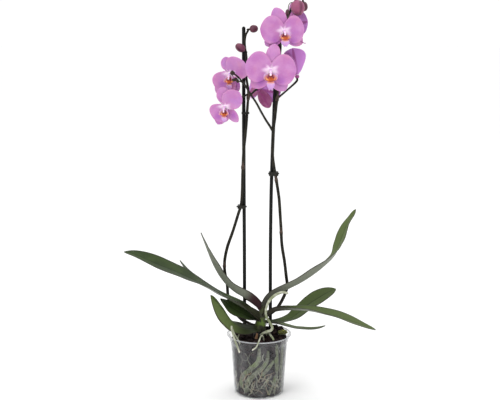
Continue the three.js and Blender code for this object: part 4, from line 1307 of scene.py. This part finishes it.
def middle_lobe(surface, full):
    """The lobe that hangs forward below the throat, with two short whiskers at its tip."""
    u = np.linspace(0, 1, 20)
    s = np.linspace(1, -1, 13)
    rows = u[:, None]
    half = full * (1 + 6.8 * np.sin(math.pi * (0.12 + 0.8 * rows)) ** 1.2)
    z = (10 + 8 * rows - 6 * rows * rows) + 1.5 * np.abs(s) + 0.5 * np.sin(8 * rows) * s**2
    add_lobe(surface, half * s, -19 - 18 * rows, z, u, s, specks=3, shaded=0.3)
    for side in (-1, 1):
        path = np.array([[1, -36, 12.2], [2, -38, 12.6], [3.6, -38, 14], [3.8, -36.5, 15]]) * [side, 1, 1]
        points, faces, place = tube(path, [0.7, 0.5, 0.35], sides=7, step=0.9)
        surface.add(points, faces, place * UNSPECKLED, tint=MID_LILAC)


def callus(surface):
    """The fleshy orange ridge across the throat, with a maroon-shaded bump on each side of its middle."""
    path = [[-9, -14.5, 8.8], [-6.5, -18, 10.4], [0, -19, 11.6], [6.5, -18, 10.4], [9, -14.5, 8.8]]
    points, faces, place = tube(path, [1.0, 2.0, 3.2, 2.0, 1.0], sides=16, step=0.8)
    # peach ends, partly a painted highlight where the callus catches the light
    tint = blend((np.abs(points[:, 0] - 1) - 4) / 4, ORANGE, PEACH_AND_HIGHLIGHT)
    surface.add(points, faces, place * UNSPECKLED + [0, 0, 0.7], tint=tint)
    for side in (-1, 1):
        points, faces, _ = lump((side * 2.3, -16, 11), (4.6, 6.4, 4.6), 1.1 * side, rough=0.14, detail=12)
        surface.add(points, faces, (0, 0, 1), tint=blend((points[:, 1] + 16) / 5, ORANGE, MAROON))


def column(surface):
    """The column over the throat with its round tip, and the claw that carries the lip."""
    path = [[0, -0.5, 2.6], [0, -2.5, 6.5], [0, -6, 10], [0, -8, 11.5]]
    points, faces, place = tube(path, [2.6, 2.4, 2.8, 1.6], sides=16, step=0.8)
    surface.add(points, faces, place * UNSPECKLED, tint=blend((place[:, 0] - 0.1) / 0.6, LILAC, WHITE_PINK))
    points, faces, _ = lump((0, -9.2, 11.6), (5.0, 4.6, 3.8), 0.4, rough=0.03, detail=12)
    surface.add(points, faces, (0, 0, 0), tint=COLUMN_TIP)
    claw = [[0, -3, 4.4], [0, -10, 6.6], [0, -20.5, 10.5]]
    points, faces, place = tube(claw, [2.4, 3, 2.2], sides=14, step=1.0)
    tint = blend(place[:, 0] * 1.6 - 0.6, MAROON, ORANGE)
    surface.add(points, faces, place * UNSPECKLED + [0, 0, 0.8], tint=tint)


def make_lip(name, spec, turn):
    surface = Surface()
    column(surface)
    callus(surface)
    side_lobe(surface, -1)
    side_lobe(surface, 1)
    middle_lobe(surface, FULL_LOBES.get(name, 1.0))
    narrow = spec["size"] * (1 - spec["close"] / LIP_CLOSES)
    surface.points = [p * [narrow, narrow, spec["size"]] for p in surface.points]
    surface.show("throat_" + name, "lip", "lip", name + "_lip", turn=turn, at=spec["at"])


def bloom_turn(spec):
    yaw, pitch = spec["faces"]
    return turn_z(yaw) @ turn_x(90 - pitch)


# ------------------------------------------------------------------ buds and spikes

BUD_PINK = {"bud_right_1": 0.55, "bud_left_2": 0.15}
JOINT_RADIUS = 3.4
STALK_END = {"bud": 4, "bloom": 3}  # the last stretch of a stalk, straight behind what it carries
# A dry, bent stalk beside the top bud.
DRY_STALK = [[50, 18, 684], [52, 10, 690], [50.6, 6, 698], [50.4, 5, 704.5], [51.8, 4, 709.4],
    [54.6, 3, 712], [58, 2, 712]]


def make_bud(name, spec):
    """A closed bud: three folded sepals that meet in seams, narrower at the tip."""
    rows, sides = 30, 36
    t = np.linspace(0.03, 0.97, rows)
    angle = around(sides)
    length, width = spec["size"]
    radius = width / 2 * np.sin(math.pi * t) ** 0.85 * (1.06 - 0.16 * t)
    seam = np.abs(np.cos(1.5 * angle)) ** 14
    ring = radius[:, None] * (1 + 0.025 * np.cos(3 * angle) - 0.05 * seam)
    z = (-np.cos(math.pi * t) * length / 2)[:, None] * np.ones(sides)
    points = np.stack([ring * np.cos(angle), ring * np.sin(angle), z], axis=-1).reshape(-1, 3)
    place = np.stack([np.repeat(t, sides), np.tile(angle, rows), np.tile(seam, rows)], axis=1)
    surface = Surface()
    surface.add(points, ring_faces(rows, sides), place, plan=(BUD_PINK.get(name, 0), 0, 0))
    surface.show("closed_" + name, "bud", "bud", name, turn=turn_to(spec["tip"]), at=spec["at"])


def bud_stalk(spec):
    """Path and radii of the stalk from the spike to the bud's foot."""
    way = unit(np.asarray(spec["tip"], float))
    seat = np.asarray(spec["at"]) - way * (spec["size"][0] / 2 + GAP)
    return [spec["from"], seat - way * STALK_END["bud"], seat], [1.7, 1.6, 1.7]


def bloom_stalk(spec):
    """Path and radii of the stalk from the spike to the flower's back."""
    seat = FLOWER_BACK * spec["size"] + GAP
    behind = np.array([0, -0.1, -1])
    depths = seat + STALK_END["bloom"], seat
    ends = [spec["at"] + bloom_turn(spec) @ (behind * depth) for depth in depths]
    return [spec["from"], *ends], [1.8, 1.7, 2]


def add_joint(surface, at, along):
    """A swollen joint with the dry bract that wraps it."""
    turn = turn_to(along)
    width = 2 * JOINT_RADIUS
    points, faces, _ = lump((0, 0, 0), (width, width, 1.3 * width), 0.7, rough=0.05, detail=12)
    surface.add(points @ turn.T + at, faces, (0, 0, 0.25))
    bract = np.array([[0, 0.5, -3], [0, -0.5, 2], [0, -2.2, 7], [0, -3.2, 11]]) @ turn.T + at
    radii = [JOINT_RADIUS * 0.95, JOINT_RADIUS * 0.95, 1.3, 0.4]
    points, faces, _ = tube(bract, radii, sides=10, step=1.2)
    surface.add(points, faces, (0, 0, 0.6))


def add_knob(surface, knob, seed):
    """The swollen end of a branch with the scale-like buds that sit round it."""
    x, y, z, radius = knob
    for k in range(5):
        angle = 2 * math.pi * k / 4 + seed
        out = 0.0 if k == 4 else 0.55 * radius
        centre = (x + out * math.cos(angle), y - 0.4 * out, z + out * math.sin(angle))
        size = radius * (2.1 if k == 4 else 1.5)
        points, faces, _ = lump(centre, (size, size, size * 1.15), seed + k, rough=0.2)
        surface.add(points, faces, (0, 0, 0.12 + 0.1 * (k % 3)))


def add_side_branch(surface):
    """The branch with its twig and knobs, and the dry stalk at the spike's top."""
    surface.add(*tube(SIDE_BRANCH["path"], SIDE_BRANCH["radii"]))
    surface.add(*tube(SIDE_BRANCH["twig"], [1.2, 1], sides=10, step=2))
    points, faces, place = tube(DRY_STALK, [0.9, 0.8, 0.7], sides=8, step=1.5)
    place[:, 2] = 0.9
    surface.add(points, faces, place)
    for k, knob in enumerate(SIDE_BRANCH["knobs"]):
        add_knob(surface, knob, k)


def make_spike(name, spec, buds, blooms, add_branch=None):
    def swell(share, angle, points):
        return 1 + 0.04 * ripple(points, 6.0)
    surface = Surface()
    surface.add(*tube(spec["path"], spec["radii"], sides=14, shape=swell))
    curve = smooth_curve(spec["path"])
    for at in spec["joints"]:
        nearest = int(np.argmin(np.linalg.norm(curve - at, axis=1)))
        along = curve[min(nearest + 3, len(curve) - 1)] - curve[max(nearest - 3, 0)]
        add_joint(surface, curve[nearest], along)
    stalks = [bud_stalk(BUDS[bud]) for bud in buds] + [bloom_stalk(BLOOMS[bloom]) for bloom in blooms]
    for path, radii in stalks:
        surface.add(*tube(path, radii, sides=10, step=1.5))
    if add_branch is not None:
        add_branch(surface)
    surface.show("stem_" + name, "stem", "spike", name)


# ------------------------------------------------------------------ setting

FLOOR_REACH = 40000
LENS = 70
CAMERA_AT = (-0.0168, -1.7328, 0.6649)  # metres
CAMERA_DOWN = 9.92  # degrees below level
# Where each lamp stands in metres, its power and its size.
LAMPS = {"key": [(-1.2, -1.6, 2.6), 20, 1.2], "top": [(0.5, 0.6, 3.0), 14, 1.6]}
LAMP_TARGET = np.array([0, 0, 0.4])
SKY_STRENGTH = 1.05


def make_floor():
    corners = [[x, y, 0] for x, y in ((-1, -1), (1, -1), (1, 1), (-1, 1))]
    surface = Surface()
    surface.add(np.array(corners) * float(FLOOR_REACH), [(0, 1, 2, 3)], (0, 0, 0))
    floor = surface.build("floor", floor_material())


def make_lights():
    world = bpy.data.worlds.new("studio")
    world.use_nodes = True
    background = world.node_tree.nodes["Background"]
    background.inputs["Color"].default_value = (1, 1, 1, 1)
    background.inputs["Strength"].default_value = SKY_STRENGTH
    bpy.context.scene.world = world
    for name, (where, power, size) in LAMPS.items():
        light = bpy.data.lights.new(name, "AREA")
        light.energy = power
        light.size = size
        lamp = bpy.data.objects.new(name, light)
        lamp.location = where
        lamp.rotation_euler = Matrix(turn_to(where - LAMP_TARGET).tolist()).to_euler()
        bpy.context.scene.collection.objects.link(lamp)


def make_camera():
    data = bpy.data.cameras.new("view")
    data.lens = LENS
    data.sensor_width = 36
    data.clip_end = 50
    camera = bpy.data.objects.new("view", data)
    camera.location = CAMERA_AT
    camera.rotation_euler = (math.radians(90 - CAMERA_DOWN), 0, 0)
    bpy.context.scene.collection.objects.link(camera)
    bpy.context.scene.camera = camera
    bpy.context.scene.view_settings.view_transform = "Standard"


make_camera()
make_floor()
make_lights()
make_pot()
make_medium()
make_roots()
make_rootlets()
make_dark_strand()
make_root_stub()
make_moss()
make_crown()
make_stakes()
for leaf_name, leaf_spec in LEAVES.items():
    make_leaf(leaf_name, leaf_spec)
for bud_name, bud_spec in BUDS.items():
    make_bud(bud_name, bud_spec)
for bloom_name, bloom_spec in BLOOMS.items():
    make_tepals(bloom_name, bloom_spec, bloom_turn(bloom_spec))
    make_lip(bloom_name, bloom_spec, bloom_turn(bloom_spec))
make_spike("spike_left", SPIKE_LEFT, ["bud_left_1", "bud_left_2"], ["bloom_4", "bloom_6", "bloom_7"])
make_spike("spike_right", SPIKE_RIGHT, ["bud_right_1", "bud_right_2", "bud_right_3"],
           ["bloom_1", "bloom_2", "bloom_3", "bloom_5"], add_side_branch)
for clip_name in CLIP_NODES:
    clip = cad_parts[clip_name]
    clip.data.materials.clear()
    clip.data.materials.append(MATERIALS["clip"])
